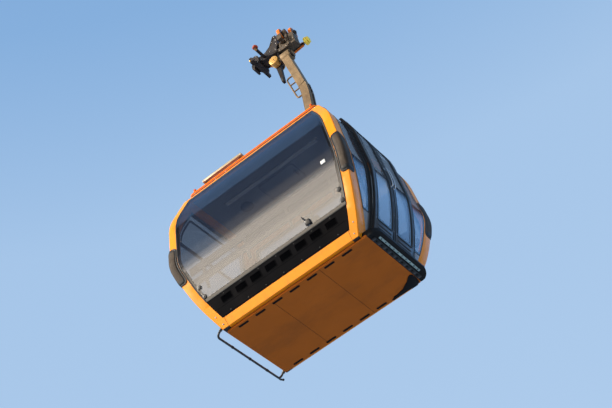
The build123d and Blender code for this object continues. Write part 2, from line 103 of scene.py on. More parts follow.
def bump(t, b, src, out, strength, dist):
    n = t.nodes.new("ShaderNodeBump")
    n.inputs["Strength"].default_value = strength
    n.inputs["Distance"].default_value = dist
    link(t, src, out, n, "Height")
    prev = b.inputs["Normal"].links
    if prev:
        t.links.new(prev[0].from_socket, n.inputs["Normal"])
    link(t, n, "Normal", b, "Normal")


def finish_mat(name, slot, base, rough, metal=0.0, vary=0.12, vscale=2.0, dirt=None, dirt_amt=0.0, dirt_scale=(3, 3, 0.6),
               rvary=0.08, grain=None, coat=0.0, spec=0.5, ior=1.5, coat_r=0.08):
    """A painted, plastic or metal finish: slow tone changes, streaks of dirt, a varying gloss and a fine grain."""
    m = bpy.data.materials.new(name)
    m.use_nodes = True
    t, b = nt(m)
    base = tuple(base)
    lo = tuple(max(0.0, c * (1 - vary)) for c in base)
    hi = tuple(min(1.0, c * (1 + vary)) for c in base)
    n1 = noise(t, vscale, 4.0)
    r1 = ramp(t, n1, "Fac", [(0.3, lo), (0.7, hi)])
    col = (r1, "Color")
    if dirt is not None:
        n2 = noise(t, 1.0, 6.0, 0.65, dirt_scale)
        r2 = ramp(t, n2, "Fac", [(0.48, (0, 0, 0)), (0.72, (dirt_amt,) * 3)])
        mm = mixc(t, r2, "Color", col, dirt)
        col = (mm, 2)
    t.links.new(col[0].outputs[col[1]], b.inputs["Base Color"])
    n3 = noise(t, vscale * 3.1, 3.0)
    mr = t.nodes.new("ShaderNodeMapRange")
    mr.inputs["To Min"].default_value = max(0.02, rough - rvary)
    mr.inputs["To Max"].default_value = min(1.0, rough + rvary)
    link(t, n3, "Fac", mr, "Value")
    link(t, mr, "Result", b, "Roughness")
    b.inputs["Metallic"].default_value = metal
    b.inputs["Specular IOR Level"].default_value = spec
    b.inputs["IOR"].default_value = ior
    if coat:
        b.inputs["Coat Weight"].default_value = coat
        b.inputs["Coat Roughness"].default_value = coat_r
    if grain:
        scale, strength, dist = grain
        n4 = noise(t, scale, 2.0)
        bump(t, b, n4, "Fac", strength, dist)
    m["slot"] = slot
    MATS[name] = m
    return m


ORANGE = (0.86, 0.270, 0.004)
finish_mat("enamel_orange", "body_paint", ORANGE, 0.40, vary=0.05, vscale=1.6, dirt=(0.42, 0.14, 0.015), dirt_amt=0.35,
           dirt_scale=(9, 9, 0.9), grain=(420, 0.05, 0.0004), coat=0.10, spec=0.22)
finish_mat("enamel_roof", "roof_paint", (0.56, 0.082, 0.004), 0.62, vary=0.07, vscale=1.3, dirt=(0.26, 0.09, 0.03),
           dirt_amt=0.5, dirt_scale=(2.2, 2.2, 2.2), grain=(380, 0.05, 0.0004), spec=0.12)
# the body's orange darkened to brown: painted shade for the underside, which lies out of the sun; dust streaks over it
finish_mat("pan_paint_shaded", "body_paint", (0.44, 0.112, 0.010), 0.62, vary=0.06, vscale=2.4, dirt=(0.20, 0.060, 0.012),
           dirt_amt=0.5, dirt_scale=(3.0, 1.2, 3.0), grain=(160, 0.10, 0.0006), spec=0.12)
finish_mat("black_powder", "black_frame", (0.016, 0.016, 0.018), 0.42, vary=0.2, vscale=3, dirt=(0.09, 0.08, 0.07),
           dirt_amt=0.22, grain=(500, 0.12, 0.0004))
finish_mat("black_plastic", "black_trim", (0.013, 0.013, 0.015), 0.38, vary=0.25, vscale=3, dirt=(0.10, 0.085, 0.07),
           dirt_amt=0.25, grain=(650, 0.10, 0.0003))
finish_mat("black_band", "black_trim", (0.004, 0.004, 0.005), 0.60, vary=0.25, vscale=3, dirt=(0.014, 0.011, 0.010),
           dirt_amt=0.3, grain=(650, 0.10, 0.0003), spec=0.02)
finish_mat("guide_steel", "cast_steel", (0.012, 0.010, 0.010), 0.50, metal=0.2, vary=0.30, vscale=12, dirt=(0.05, 0.020, 0.012),
           dirt_amt=0.4, dirt_scale=(14, 14, 14), grain=(140, 0.25, 0.0006), spec=0.2)
finish_mat("step_black", "black_trim", (0.005, 0.005, 0.006), 0.50, vary=0.25, vscale=3, dirt=(0.020, 0.017, 0.014),
           dirt_amt=0.3, grain=(650, 0.10, 0.0003), spec=0.12)
finish_mat("grey_panel", "grey_panel", (0.200, 0.210, 0.230), 0.42, vary=0.08, vscale=2, dirt=(0.05, 0.045, 0.04),
           dirt_amt=0.4, grain=(480, 0.08, 0.0003))
finish_mat("grille_grey", "grey_panel", (0.016, 0.018, 0.020), 0.48, metal=0.2, vary=0.15, vscale=5, grain=(300, 0.1, 0.0003), spec=0.3)
finish_mat("strip_grey", "grey_panel", (0.270, 0.370, 0.370), 0.42, metal=0.2, vary=0.10, vscale=6, dirt=(0.10, 0.12, 0.12), dirt_amt=0.4, grain=(300, 0.1, 0.0003))
finish_mat("pad_rubber", "pad_rubber", (0.040, 0.028, 0.019), 0.70, vary=0.25, vscale=7, dirt=(0.120, 0.090, 0.062),
           dirt_amt=0.5, dirt_scale=(14, 14, 5), rvary=0.12, grain=(260, 0.35, 0.0008), spec=0.25)
finish_mat("seal_rubber", "black_trim", (0.012, 0.012, 0.012), 0.55, vary=0.25, vscale=6, grain=(500, 0.15, 0.0003), spec=0.35)
finish_mat("frit_black", "tinted_glass", (0.008, 0.009, 0.012), 0.07, vary=0.2, vscale=2, rvary=0.03, spec=0.6)
finish_mat("galvanised", "galvanised", (0.200, 0.134, 0.068), 0.58, metal=0.30, vary=0.22, vscale=7, dirt=(0.085, 0.045, 0.018),
           dirt_amt=0.75, dirt_scale=(9, 9, 5), rvary=0.12, grain=(120, 0.20, 0.0006), spec=0.35)
finish_mat("rail_steel", "galvanised", (0.150, 0.095, 0.045), 0.52, metal=0.35, vary=0.18, vscale=14, dirt=(0.210, 0.095, 0.030),
           dirt_amt=0.6, dirt_scale=(16, 16, 16), rvary=0.12, grain=(150, 0.25, 0.0006), spec=0.35)
finish_mat("cast_steel", "cast_steel", (0.030, 0.026, 0.027), 0.50, metal=0.40, vary=0.35, vscale=14, dirt=(0.085, 0.055, 0.026),
           dirt_amt=0.6, dirt_scale=(16, 16, 16), rvary=0.14, grain=(140, 0.40, 0.0009), spec=0.3)
finish_mat("carrier_steel", "cast_steel", (0.090, 0.068, 0.046), 0.56, metal=0.30, vary=0.30, vscale=12, dirt=(0.045, 0.034, 0.026),
           dirt_amt=0.6, dirt_scale=(14, 14, 14), rvary=0.14, grain=(140, 0.35, 0.0008), spec=0.3)
finish_mat("zinc_yellow", "cap_metal", (0.62, 0.350, 0.095), 0.42, metal=0.35, vary=0.12, vscale=12, dirt=(0.36, 0.17, 0.045),
           dirt_amt=0.45, dirt_scale=(16, 16, 16), grain=(200, 0.15, 0.0005), spec=0.35)
finish_mat("machined", "wheel_metal", (0.20, 0.20, 0.21), 0.34, metal=0.85, vary=0.16, vscale=16, dirt=(0.08, 0.06, 0.05),
           dirt_amt=0.5, dirt_scale=(20, 20, 20), grain=(240, 0.2, 0.0004))
finish_mat("orange_pu", "tyre_orange", (0.80, 0.185, 0.012), 0.50, vary=0.10, vscale=10, dirt=(0.20, 0.075, 0.025), dirt_amt=0.6,
           dirt_scale=(18, 18, 18), grain=(200, 0.2, 0.0005), spec=0.25)
finish_mat("red_pu", "tyre_orange", (0.46, 0.055, 0.010), 0.50, vary=0.12, vscale=10, dirt=(0.12, 0.04, 0.02), dirt_amt=0.6,
           dirt_scale=(18, 18, 18), grain=(200, 0.2, 0.0005), spec=0.25)
finish_mat("yellow_pa", "roller_yellow", (1.0, 0.76, 0.11), 0.45, vary=0.03, vscale=10, spec=0.3)
finish_mat("stainless", "poles", (0.55, 0.55, 0.56), 0.24, metal=1.0, vary=0.05, vscale=4, rvary=0.06, grain=(300, 0.05, 0.0002))
finish_mat("bolt_steel", "poles", (0.38, 0.37, 0.36), 0.36, metal=0.9, vary=0.15, vscale=30, dirt=(0.16, 0.08, 0.04), dirt_amt=0.4,
           dirt_scale=(30, 30, 30), grain=(300, 0.1, 0.0002))
finish_mat("seat_shell", "seat_shell", (0.050, 0.052, 0.057), 0.62, vary=0.08, vscale=3, grain=(900, 0.05, 0.0001), spec=0.3)
finish_mat("ceiling_liner", "liner", (0.20, 0.205, 0.215), 0.62, vary=0.05, vscale=2, grain=(900, 0.2, 0.0003))
finish_mat("frame_beige", "grey_panel", (0.40, 0.32, 0.20), 0.50, metal=0.2, vary=0.10, vscale=6, dirt=(0.22, 0.12, 0.05), dirt_amt=0.5,
           grain=(300, 0.05, 0.0002))
finish_mat("backsheet", "grey_panel", (0.46, 0.50, 0.50), 0.45, vary=0.05, vscale=4, dirt=(0.25, 0.23, 0.20), dirt_amt=0.35,
           grain=(300, 0.05, 0.0002))
# flat black: the colour of dark joints and seams, and painted shade inside holes and slots
finish_mat("joint_black_and_hole_shade", "black_trim", (0.004, 0.004, 0.004), 0.8, vary=0.2, spec=0.2)
finish_mat("lamp_white", "liner", (0.62, 0.63, 0.62), 0.40, vary=0.03, vscale=3)


def vinyl():
    """Upholstery: dark synthetic leather with a pebbled grain and polished patches."""
    m = finish_mat("seat_vinyl", "seat_pad", (0.032, 0.034, 0.042), 0.44, vary=0.14, vscale=6, rvary=0.12)
    t, b = nt(m)
    v = t.nodes.new("ShaderNodeTexVoronoi")
    v.inputs["Scale"].default_value = 420
    link(t, coords(t, 1), "Vector", v, "Vector")
    bump(t, b, v, "Distance", 0.28, 0.0006)
    return m


def mat_floor():
    m = finish_mat("floor_rubber", "floor_rubber", (0.045, 0.045, 0.047), 0.62, vary=0.18, vscale=3, dirt=(0.13, 0.11, 0.085),
                   dirt_amt=0.55, dirt_scale=(4, 4, 4), grain=(260, 0.2, 0.0005))
    return m


def glass(name, alpha):
    """Dark tinted pane with a reflective solar film: a thin mirror-like gloss over a see-through body."""
    m = bpy.data.materials.new(name)
    m.use_nodes = True
    t, b = nt(m)
    n = noise(t, 1.1, 2.0)
    r = ramp(t, n, "Fac", [(0.3, (0.012, 0.020, 0.042)), (0.7, (0.018, 0.029, 0.056))])
    link(t, r, "Color", b, "Base Color")
    n2 = noise(t, 5.0, 3.0)
    mr = t.nodes.new("ShaderNodeMapRange")
    mr.inputs["To Min"].default_value = 0.015
    mr.inputs["To Max"].default_value = 0.05
    link(t, n2, "Fac", mr, "Value")
    link(t, mr, "Result", b, "Roughness")
    b.inputs["IOR"].default_value = 2.25
    b.inputs["Alpha"].default_value = alpha
    m["slot"] = "tinted_glass"
    MATS[name] = m
    return m


def solar():
    """Dark blue cells in a grid of fine silver lines."""
    m = bpy.data.materials.new("solar_cells")
    m.use_nodes = True
    t, b = nt(m)
    br = t.nodes.new("ShaderNodeTexBrick")
    br.offset = 0.0
    br.inputs["Color1"].default_value = (0.006, 0.012, 0.045, 1)
    br.inputs["Color2"].default_value = (0.010, 0.018, 0.060, 1)
    br.inputs["Mortar"].default_value = (0.40, 0.42, 0.45, 1)
    br.inputs["Scale"].default_value = 1.0
    br.inputs["Mortar Size"].default_value = 0.0016
    br.inputs["Brick Width"].default_value = 0.0733
    br.inputs["Row Height"].default_value = 0.0733
    link(t, coords(t, 1), "Vector", br, "Vector")
    link(t, br, "Color", b, "Base Color")
    b.inputs["Roughness"].default_value = 0.12
    b.inputs["Coat Weight"].default_value = 1.0
    b.inputs["Coat Roughness"].default_value = 0.03
    m["slot"] = "solar_cells"
    MATS["solar_cells"] = m
    return m


vinyl()
mat_floor()
glass("glass_dark", 0.42)
solar()

# ------------------------------------------------------------------ mesh helpers
COLL = bpy.context.scene.collection


def make(name, verts, faces, mat, body="cabin", smooth=True, replaces=(), sharp=None, slot=None):
    """A mesh piece in the row frame that rides on a body."""
    me = bpy.data.meshes.new(name)
    me.from_pydata([tuple(v) for v in verts], [], faces)
    bm = bmesh.new()
    bm.from_mesh(me)
    bmesh.ops.remove_doubles(bm, verts=bm.verts, dist=1e-6)
    bmesh.ops.recalc_face_normals(bm, faces=bm.faces)
    bm.to_mesh(me)
    bm.free()
    return wrap(name, me, mat, body, smooth, replaces, sharp, slot)


def wrap(name, me, mat, body="cabin", smooth=True, replaces=(), sharp=None, slot=None):
    m = MATS[mat]
    me.materials.append(m)
    if smooth:
        me.polygons.foreach_set("use_smooth", [True] * len(me.polygons))
        if sharp is None:
            sharp = 35
        me.set_sharp_from_angle(angle=math.radians(sharp))
    o = bpy.data.objects.new(name, me)
    COLL.objects.link(o)
    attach(o, body)
    if replaces:
        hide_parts(*replaces)
    return o


class Lump:
    """Collects many small solids of one material into one piece."""

    def __init__(self):
        self.v, self.f = [], []

    def add(self, verts, faces):
        k = len(self.v)
        self.v += [tuple(p) for p in verts]
        self.f += [tuple(i + k for i in q) for q in faces]
        return self

    def done(self, name, mat, body="cabin", **kw):
        return make(name, self.v, self.f, mat, body, **kw)


def frame_of(axis):
    a = Vector(axis).normalized()
    u = a.orthogonal().normalized()
    return a, u, a.cross(u)


def lathe(pos, axis, profile, seg=32, close=True, start=0.0):
    """Solid of revolution. profile rows (radius, height) from one end of the axis to the other."""
    a, u, w = frame_of(axis)
    p = Vector(pos)
    verts, faces = [], []
    for r, h in profile:
        for k in range(seg):
            t = 2 * math.pi * (k + start) / seg
            verts.append(p + a * h + (u * math.cos(t) + w * math.sin(t)) * max(r, 0.0))
    n = len(profile)
    for i in range(n - 1):
        for k in range(seg):
            k2 = (k + 1) % seg
            faces.append((i * seg + k, i * seg + k2, (i + 1) * seg + k2, (i + 1) * seg + k))
    if close:
        faces.append(tuple(range(seg))[::-1])
        faces.append(tuple((n - 1) * seg + k for k in range(seg)))
    else:
        for k in range(seg):
            k2 = (k + 1) % seg
            faces.append(((n - 1) * seg + k, (n - 1) * seg + k2, k2, k))
    return verts, faces


def hexbolt(pos, axis, r=0.008, h=0.007, washer=True):
    """Hexagon head with a chamfered top on a washer."""
    out = Lump()
    base = 0.0
    if washer:
        out.add(*lathe(pos, axis, [(r * 1.42, -0.0005), (r * 1.42, 0.0012), (r * 1.34, 0.0017), (0.0, 0.0017)], 20))
        base = 0.0017
    prof = [(r * 1.12, base - 0.0004), (r * 1.12, base + h * 0.82), (r * 0.98, base + h), (0.0, base + h)]
    out.add(*lathe(pos, axis, prof, 6))
    return out.v, out.f


def button(pos, axis, r=0.006, h=0.003, seg=14):
    """Low round screw head."""
    return lathe(pos, axis, [(r, -0.0004), (r, h * 0.35), (r * 0.86, h * 0.72), (r * 0.55, h * 0.95), (0.0, h)], seg)


def boxm(x0, x1, y0, y1, z0, z1, r=0.003, seg=2):
    """Box with rounded edges, as (verts, faces)."""
    bm = bmesh.new()
    bmesh.ops.create_cube(bm, size=1.0)
    for v in bm.verts:
        v.co = Vector(((x0 + x1) / 2 + v.co.x * (x1 - x0), (y0 + y1) / 2 + v.co.y * (y1 - y0), (z0 + z1) / 2 + v.co.z * (z1 - z0)))
    r = min(r, 0.49 * min(abs(x1 - x0), abs(y1 - y0), abs(z1 - z0)))
    if r > 0:
        bmesh.ops.bevel(bm, geom=bm.edges[:], offset=r, segments=seg, profile=0.5, affect="EDGES")
    v = [p.co.copy() for p in bm.verts]
    f = [tuple(q.index for q in p.verts) for p in bm.faces]
    bm.free()
    return v, f


def prism(rows, axis, a0, a1, r=0.0, seg=2):
    """Flat outline pushed along an axis: rows are the two other coordinates, in x, y, z order."""
    bm = bmesh.new()
    mk = {"x": lambda u, v, a: (a, u, v), "y": lambda u, v, a: (u, a, v), "z": lambda u, v, a: (u, v, a)}[axis]
    lo = [bm.verts.new(mk(u, v, a0)) for u, v in rows]
    hi = [bm.verts.new(mk(u, v, a1)) for u, v in rows]
    n = len(rows)
    for i in range(n):
        bm.faces.new((lo[i], lo[(i + 1) % n], hi[(i + 1) % n], hi[i]))
    bm.faces.new(lo[::-1])
    bm.faces.new(hi)
    if r > 0:
        bmesh.ops.recalc_face_normals(bm, faces=bm.faces)
        bmesh.ops.bevel(bm, geom=bm.edges[:], offset=r, segments=seg, profile=0.5, affect="EDGES", clamp_overlap=True)
    v = [p.co.copy() for p in bm.verts]
    f = [tuple(q.index for q in p.verts) for p in bm.faces]
    bm.free()
    return v, f


def turned(vf, angle, pivot, axis="x"):
    m = Matrix.Translation(pivot) @ Matrix.Rotation(angle, 4, axis.upper()) @ Matrix.Translation(-Vector(pivot))
    return [m @ Vector(p) for p in vf[0]], vf[1]


def rounded_path(pts, r, n=6, closed=False):
    """Polyline with its corners turned into arcs."""
    pts = [Vector(p) for p in pts]
    out = []
    m = len(pts)
    rng = range(m) if closed else range(1, m - 1)
    if not closed:
        out.append(pts[0])
    for i in rng:
        a, b, c = pts[i - 1], pts[i], pts[(i + 1) % m]
        d1, d2 = (a - b), (c - b)
        l1, l2 = d1.length, d2.length
        d1.normalize(); d2.normalize()
        th = d1.angle(d2)
        if th > math.pi - 1e-3:
            out.append(b)
            continue
        leg = min(r / math.tan(th / 2), l1 * 0.49, l2 * 0.49)
        rr = leg * math.tan(th / 2)
        cen = b + (d1 + d2).normalized() * (rr / math.sin(th / 2))
        p1, p2 = b + d1 * leg - cen, b + d2 * leg - cen
        ang = p1.angle(p2)
        for k in range(n + 1):
            s = k / n
            out.append(cen + (p1 * math.sin((1 - s) * ang) + p2 * math.sin(s * ang)) / math.sin(ang))
    if not closed:
        out.append(pts[-1])
    return out


def tube(path, r, seg=12, closed=False, caps=True, radii=None):
    """Round tube along a path, with frames carried along it."""
    path = [Vector(p) for p in path]
    n = len(path)
    verts, faces = [], []
    tang = []
    for i in range(n):
        a = path[i - 1] if (i > 0 or closed) else path[i]
        b = path[(i + 1) % n] if (i < n - 1 or closed) else path[i]
        tang.append((b - a).normalized())
    u = tang[0].orthogonal().normalized()
    for i in range(n):
        if i:
            q = tang[i - 1].rotation_difference(tang[i])
            u = (q @ u).normalized()
        w = tang[i].cross(u).normalized()
        rr = radii[i] if radii else r
        for k in range(seg):
            t = 2 * math.pi * k / seg
            verts.append(path[i] + (u * math.cos(t) + w * math.sin(t)) * rr)
    last = n if closed else n - 1
    for i in range(last):
        j = (i + 1) % n
        for k in range(seg):
            k2 = (k + 1) % seg
            faces.append((i * seg + k, i * seg + k2, j * seg + k2, j * seg + k))
    if not closed and caps:
        faces.append(tuple(range(seg))[::-1])
        faces.append(tuple((n - 1) * seg + k for k in range(seg)))
    return verts, faces


# ------------------------------------------------------------------ body surfaces
# height, half length, half width, blend radius of the cabin's outline
BODY = [
    (0.0, 0.592, 0.949, 0.0),
    (0.462, 0.774, 1.158, 2.9),
    (0.962, 0.904, 1.250, 0.75),
    (1.673, 0.827, 1.202, 0.85),
    (2.145, 0.608, 1.004, 0.144),
]


def profile(col):
    """Rising list of (height, half size) along the rounded outline."""
    rows = [Vector((r[col], r[0], 0)) for r in BODY] + [Vector((0.0, 2.145, 0))]
    rad = [r[3] for r in BODY] + [0]
    out = [rows[0]]
    for i in range(1, 5):
        a, b, c = rows[i - 1], rows[i], rows[i + 1]
        d1, d2 = (a - b).normalized(), (c - b).normalized()
        th = d1.angle(d2)
        leg = rad[i] / math.tan(th / 2)
        cen = b + (d1 + d2).normalized() * (rad[i] / math.sin(th / 2))
        p1, p2 = b + d1 * leg - cen, b + d2 * leg - cen
        ang = p1.angle(p2)
        for k in range(25):
            s = k / 24
            out.append(cen + (p1 * math.sin((1 - s) * ang) + p2 * math.sin(s * ang)) / math.sin(ang))
    return [(p.y, p.x) for p in out]


PROF = {1: profile(1), 2: profile(2)}


def half(col, z):
    pr = PROF[col]
    if z <= pr[0][0]:
        (z0, h0), (z1, h1) = pr[0], pr[1]
        return h0 + (h1 - h0) * (z - z0) / (z1 - z0)
    for (z0, h0), (z1, h1) in zip(pr[:-1], pr[1:]):
        if z <= z1 and z1 > z0:
            return h0 + (h1 - h0) * (z - z0) / (z1 - z0)
    return pr[-1][1]


def slope(col, z):
    e = 0.004
    return (half(col, z + e) - half(col, z - e)) / (2 * e)


def X(z):
    return half(1, z)


def Y(z):
    return half(2, z)


def on_end(sx, y, z, n=0.0):
    """Point on the end face: y from the cabin's centre, z above the rails, n outwards."""
    s = slope(1, z)
    k = 1 / math.sqrt(1 + s * s)
    return Vector((sx * (X(z) + n * k), y + CY, z - n * s * k + RZ))


def on_side(sy, x, z, n=0.0):
    s = slope(2, z)
    k = 1 / math.sqrt(1 + s * s)
    return Vector((x, sy * (Y(z) + n * k) + CY, z - n * s * k + RZ))


def nrm(kind, s, z):
    g = slope(1 if kind == "end" else 2, z)
    v = Vector((s, 0, -g)) if kind == "end" else Vector((0, s, -g))
    return v.normalized()


def cab(x, y, z):
    return Vector((x, y + CY, z + RZ))


def grid(rows, close_u=False):
    """Faces for a list of equal-length rows of points."""
    verts = [p for r in rows for p in r]
    n = len(rows[0])
    faces = []
    for i in range(len(rows) - 1):
        for k in range(n - 1 + (1 if close_u else 0)):
            k2 = (k + 1) % n
            faces.append((i * n + k, i * n + k2, (i + 1) * n + k2, (i + 1) * n + k))
    return verts, faces


def band_loop(surf, loop, section, closed=True):
    """A bead that follows a loop drawn on a body face. loop rows (across, z); section rows (inward, outward)."""
    m = len(loop)
    pts = [Vector((a, b, 0)) for a, b in loop]
    cen = sum(pts, Vector()) / m
    verts, faces = [], []
    k = len(section)
    area = sum(pts[i].x * pts[(i + 1) % m].y - pts[(i + 1) % m].x * pts[i].y for i in range(m)) if closed else 1
    sgn = 1 if area > 0 else -1
    for i in range(m):
        a = pts[i - 1] if (i or closed) else pts[i]
        b = pts[(i + 1) % m] if (i < m - 1 or closed) else pts[i]
        p = pts[i]
        if closed or 0 < i < m - 1:
            d1, d2 = (p - a).normalized(), (b - p).normalized()
        else:
            d1 = d2 = (b - a).normalized()
        n1 = Vector((-d1.y, d1.x, 0)) * sgn
        n2 = Vector((-d2.y, d2.x, 0)) * sgn
        q = (n1 + n2)
        q = q.normalized() / max(0.5, q.normalized().dot(n1)) if q.length > 1e-6 else n1
        for (inw, outw) in section:
            w = p + q * inw
            verts.append(surf(w.x, w.y, outw))
    last = m if closed else m - 1
    for i in range(last):
        j = (i + 1) % m
        for s in range(k):
            s2 = (s + 1) % k
            faces.append((i * k + s, i * k + s2, j * k + s2, j * k + s))
    if not closed:
        faces.append(tuple(range(k)))
        faces.append(tuple((m - 1) * k + s for s in range(k))[::-1])
    return verts, faces


def pane_loop(across, z0, z1, r=0.05, steps=24, n=6):
    """Closed loop round a pane. across(z) gives its two side edges at a height."""
    pts = []
    zs = [z0 + (z1 - z0) * i / steps for i in range(steps + 1)]
    lft = [Vector((across(z)[0], z, 0)) for z in zs]
    rgt = [Vector((across(z)[1], z, 0)) for z in zs]
    # bottom-left, up the right, across the top, down the left, with arcs at the four corners
    def corner(p_prev, p, p_next):
        return rounded_path([p_prev, p, p_next], r, n)[1:-1]
    bl, br, tr, tl = lft[0], rgt[0], rgt[-1], lft[-1]
    out = []
    out += corner(lft[2], bl, (bl + br) / 2)
    for i in range(1, 12):
        q = bl.lerp(br, i / 12)
        if (q - bl).length > r * 1.2 and (q - br).length > r * 1.2:
            out.append(q)
    out += corner((bl + br) / 2, br, rgt[2])
    out += [p for p in rgt[1:-1] if (p - br).length > r * 1.3 and (p - tr).length > r * 1.3]
    out += corner(rgt[-3], tr, (tl + tr) / 2)
    for i in range(1, 12):
        q = tr.lerp(tl, i / 12)
        if (q - tl).length > r * 1.2 and (q - tr).length > r * 1.2:
            out.append(q)
    out += corner((tl + tr) / 2, tl, lft[-3])
    out += [p for p in lft[1:-1][::-1] if (p - bl).length > r * 1.3 and (p - tl).length > r * 1.3]
    return [(p.x, p.y) for p in out]


# ------------------------------------------------------------------ finishes on the carried-over parts
LOOK = {
    "corner_posts": "enamel_orange", "bottom_rails": "enamel_orange", "top_rails": "enamel_orange", "roof": "enamel_roof",
    "roof_lugs": "enamel_roof", "floor_pan": "pan_paint_shaded", "bumper_pads": "pad_rubber", "door_sill": "black_powder",
    "floor_deck": "floor_rubber", "rear_window": "glass_dark", "front_window": "glass_dark", "side_window": "glass_dark",
    "door_side_windows": "glass_dark", "rear_door_glass": "glass_dark", "front_door_glass": "glass_dark",
    "rear_lower_panel": "black_band", "front_lower_panel": "black_band", "side_lower_panel": "black_band",
    "vent_window_bar": "black_plastic", "door_side_panels": "grey_panel", "door_jambs": "black_powder",
    "door_header": "black_powder", "door_rail": "black_powder",
    "rear_door_leaf": "black_powder", "front_door_leaf": "black_powder", "step_apron": "step_black",
    "step_grille": "grille_grey", "guide_tube": "black_powder", "ceiling": "ceiling_liner", "solar_panel": "backsheet",
    "suspension_frame": "galvanised", "roof_dampers": "pad_rubber", "rear_bench": "seat_shell", "front_bench": "seat_shell",
    "rear_seat_cushions": "seat_vinyl", "front_seat_cushions": "seat_vinyl", "rear_backrest": "seat_shell",
    "front_backrest": "seat_shell", "grab_poles": "stainless", "hanger_arm": "galvanised", "climbing_rail": "rail_steel",
    "grip_frame": "cast_steel", "wheel_carrier": "carrier_steel", "hanger_pin": "cast_steel", "rear_guide_bracket": "cast_steel",
    "front_guide_bracket": "cast_steel", "spring_canister": "cast_steel", "lower_guide": "guide_steel", "spring_caps": "zinc_yellow",
    "moving_jaw": "cast_steel", "control_roller": "yellow_pa", "rear_running_wheel": "machined", "rear_wheel_tyre": "orange_pu",
    "front_running_wheel": "machined", "front_wheel_tyre": "orange_pu",
    "rear_guide_roller": "red_pu", "front_guide_roller": "red_pu",
}
for n, o in NODES.items():
    for s in o.material_slots:
        s.material = MATS[LOOK[n]]

# ------------------------------------------------------------------ windows: frit bands, seals and fixings
def ring_loop(across, z0, z1, r, ne=16, nc=8):
    """Closed loop of a fixed number of points round a pane, with arcs of radius r at its corners."""
    def side_pt(k, z):
        return Vector((across(z)[k], z, 0))

    def arc(a, p, c):
        d1, d2 = (a - p).normalized(), (c - p).normalized()
        th = d1.angle(d2)
        leg = r / math.tan(th / 2)
        cen = p + (d1 + d2).normalized() * (r / math.sin(th / 2))
        p1, p2 = p + d1 * leg - cen, p + d2 * leg - cen
        ang = p1.angle(p2)
        out = []
        for k in range(nc + 1):
            s = k / nc
            out.append(cen + (p1 * math.sin((1 - s) * ang) + p2 * math.sin(s * ang)) / math.sin(ang))
        return out

    bl, br, tr, tl = side_pt(0, z0), side_pt(1, z0), side_pt(1, z1), side_pt(0, z1)
    h = 0.08
    a1 = arc(side_pt(0, z0 + h), bl, br)
    a2 = arc(bl, br, side_pt(1, z0 + h))
    a3 = arc(side_pt(1, z1 - h), tr, tl)
    a4 = arc(tr, tl, side_pt(0, z1 - h))
    pts = list(a1)
    pts += [a1[-1].lerp(a2[0], i / ne) for i in range(1, ne)]
    pts += a2
    pts += [side_pt(1, a2[-1].y + (a3[0].y - a2[-1].y) * i / ne) for i in range(1, ne)]
    pts += a3
    pts += [a3[-1].lerp(a4[0], i / ne) for i in range(1, ne)]
    pts += a4
    pts += [side_pt(0, a4[-1].y + (a1[0].y - a4[-1].y) * i / ne) for i in range(1, ne)]
    return [(p.x, p.y) for p in pts]


def two_loops(surf, outer, inner, lo, hi, hi_in=None):
    """Flat band between two loops, from height lo to hi above a surface."""
    hi_in = hi if hi_in is None else hi_in
    n = len(outer)
    verts = [surf(a, b, lo) for a, b in outer] + [surf(a, b, hi) for a, b in outer]
    verts += [surf(a, b, hi_in) for a, b in inner] + [surf(a, b, lo) for a, b in inner]
    faces = []
    for r in range(4):
        r2 = (r + 1) % 4
        for k in range(n):
            k2 = (k + 1) % n
            faces.append((r * n + k, r * n + k2, r2 * n + k2, r2 * n + k))
    return verts, faces


def shrunk(across, w):
    return lambda z: (across(z)[0] + w, across(z)[1] - w)


def bead(surf, loop, width, height, base=-0.001):
    """Rubber seal with a rounded back along a closed loop; it lies to the inner side of the loop."""
    sec = [(-0.003, base), (-0.003, height * 0.55), (0.0, height * 0.9), (width * 0.35, height), (width * 0.7, height * 0.8),
           (width, height * 0.25), (width, base)]
    return band_loop(surf, loop, sec)


def window(name, surf, across, z0, z1, frit=0.045, body="cabin", r_out=0.012, r_in=0.05, seal=0.014, seal_h=0.006):
    outer = ring_loop(across, z0, z1, r_out)
    inner = ring_loop(shrunk(across, frit), z0 + frit, z1 - frit, r_in)
    v, f = two_loops(surf, outer, inner, -0.0004, 0.0009)
    make(name + "_frit", v, f, "frit_black", body, sharp=30)
    v, f = bead(surf, ring_loop(across, z0, z1, r_out + 0.006), seal, seal_h)
    make(name + "_seal", v, f, "seal_rubber", body, sharp=50)


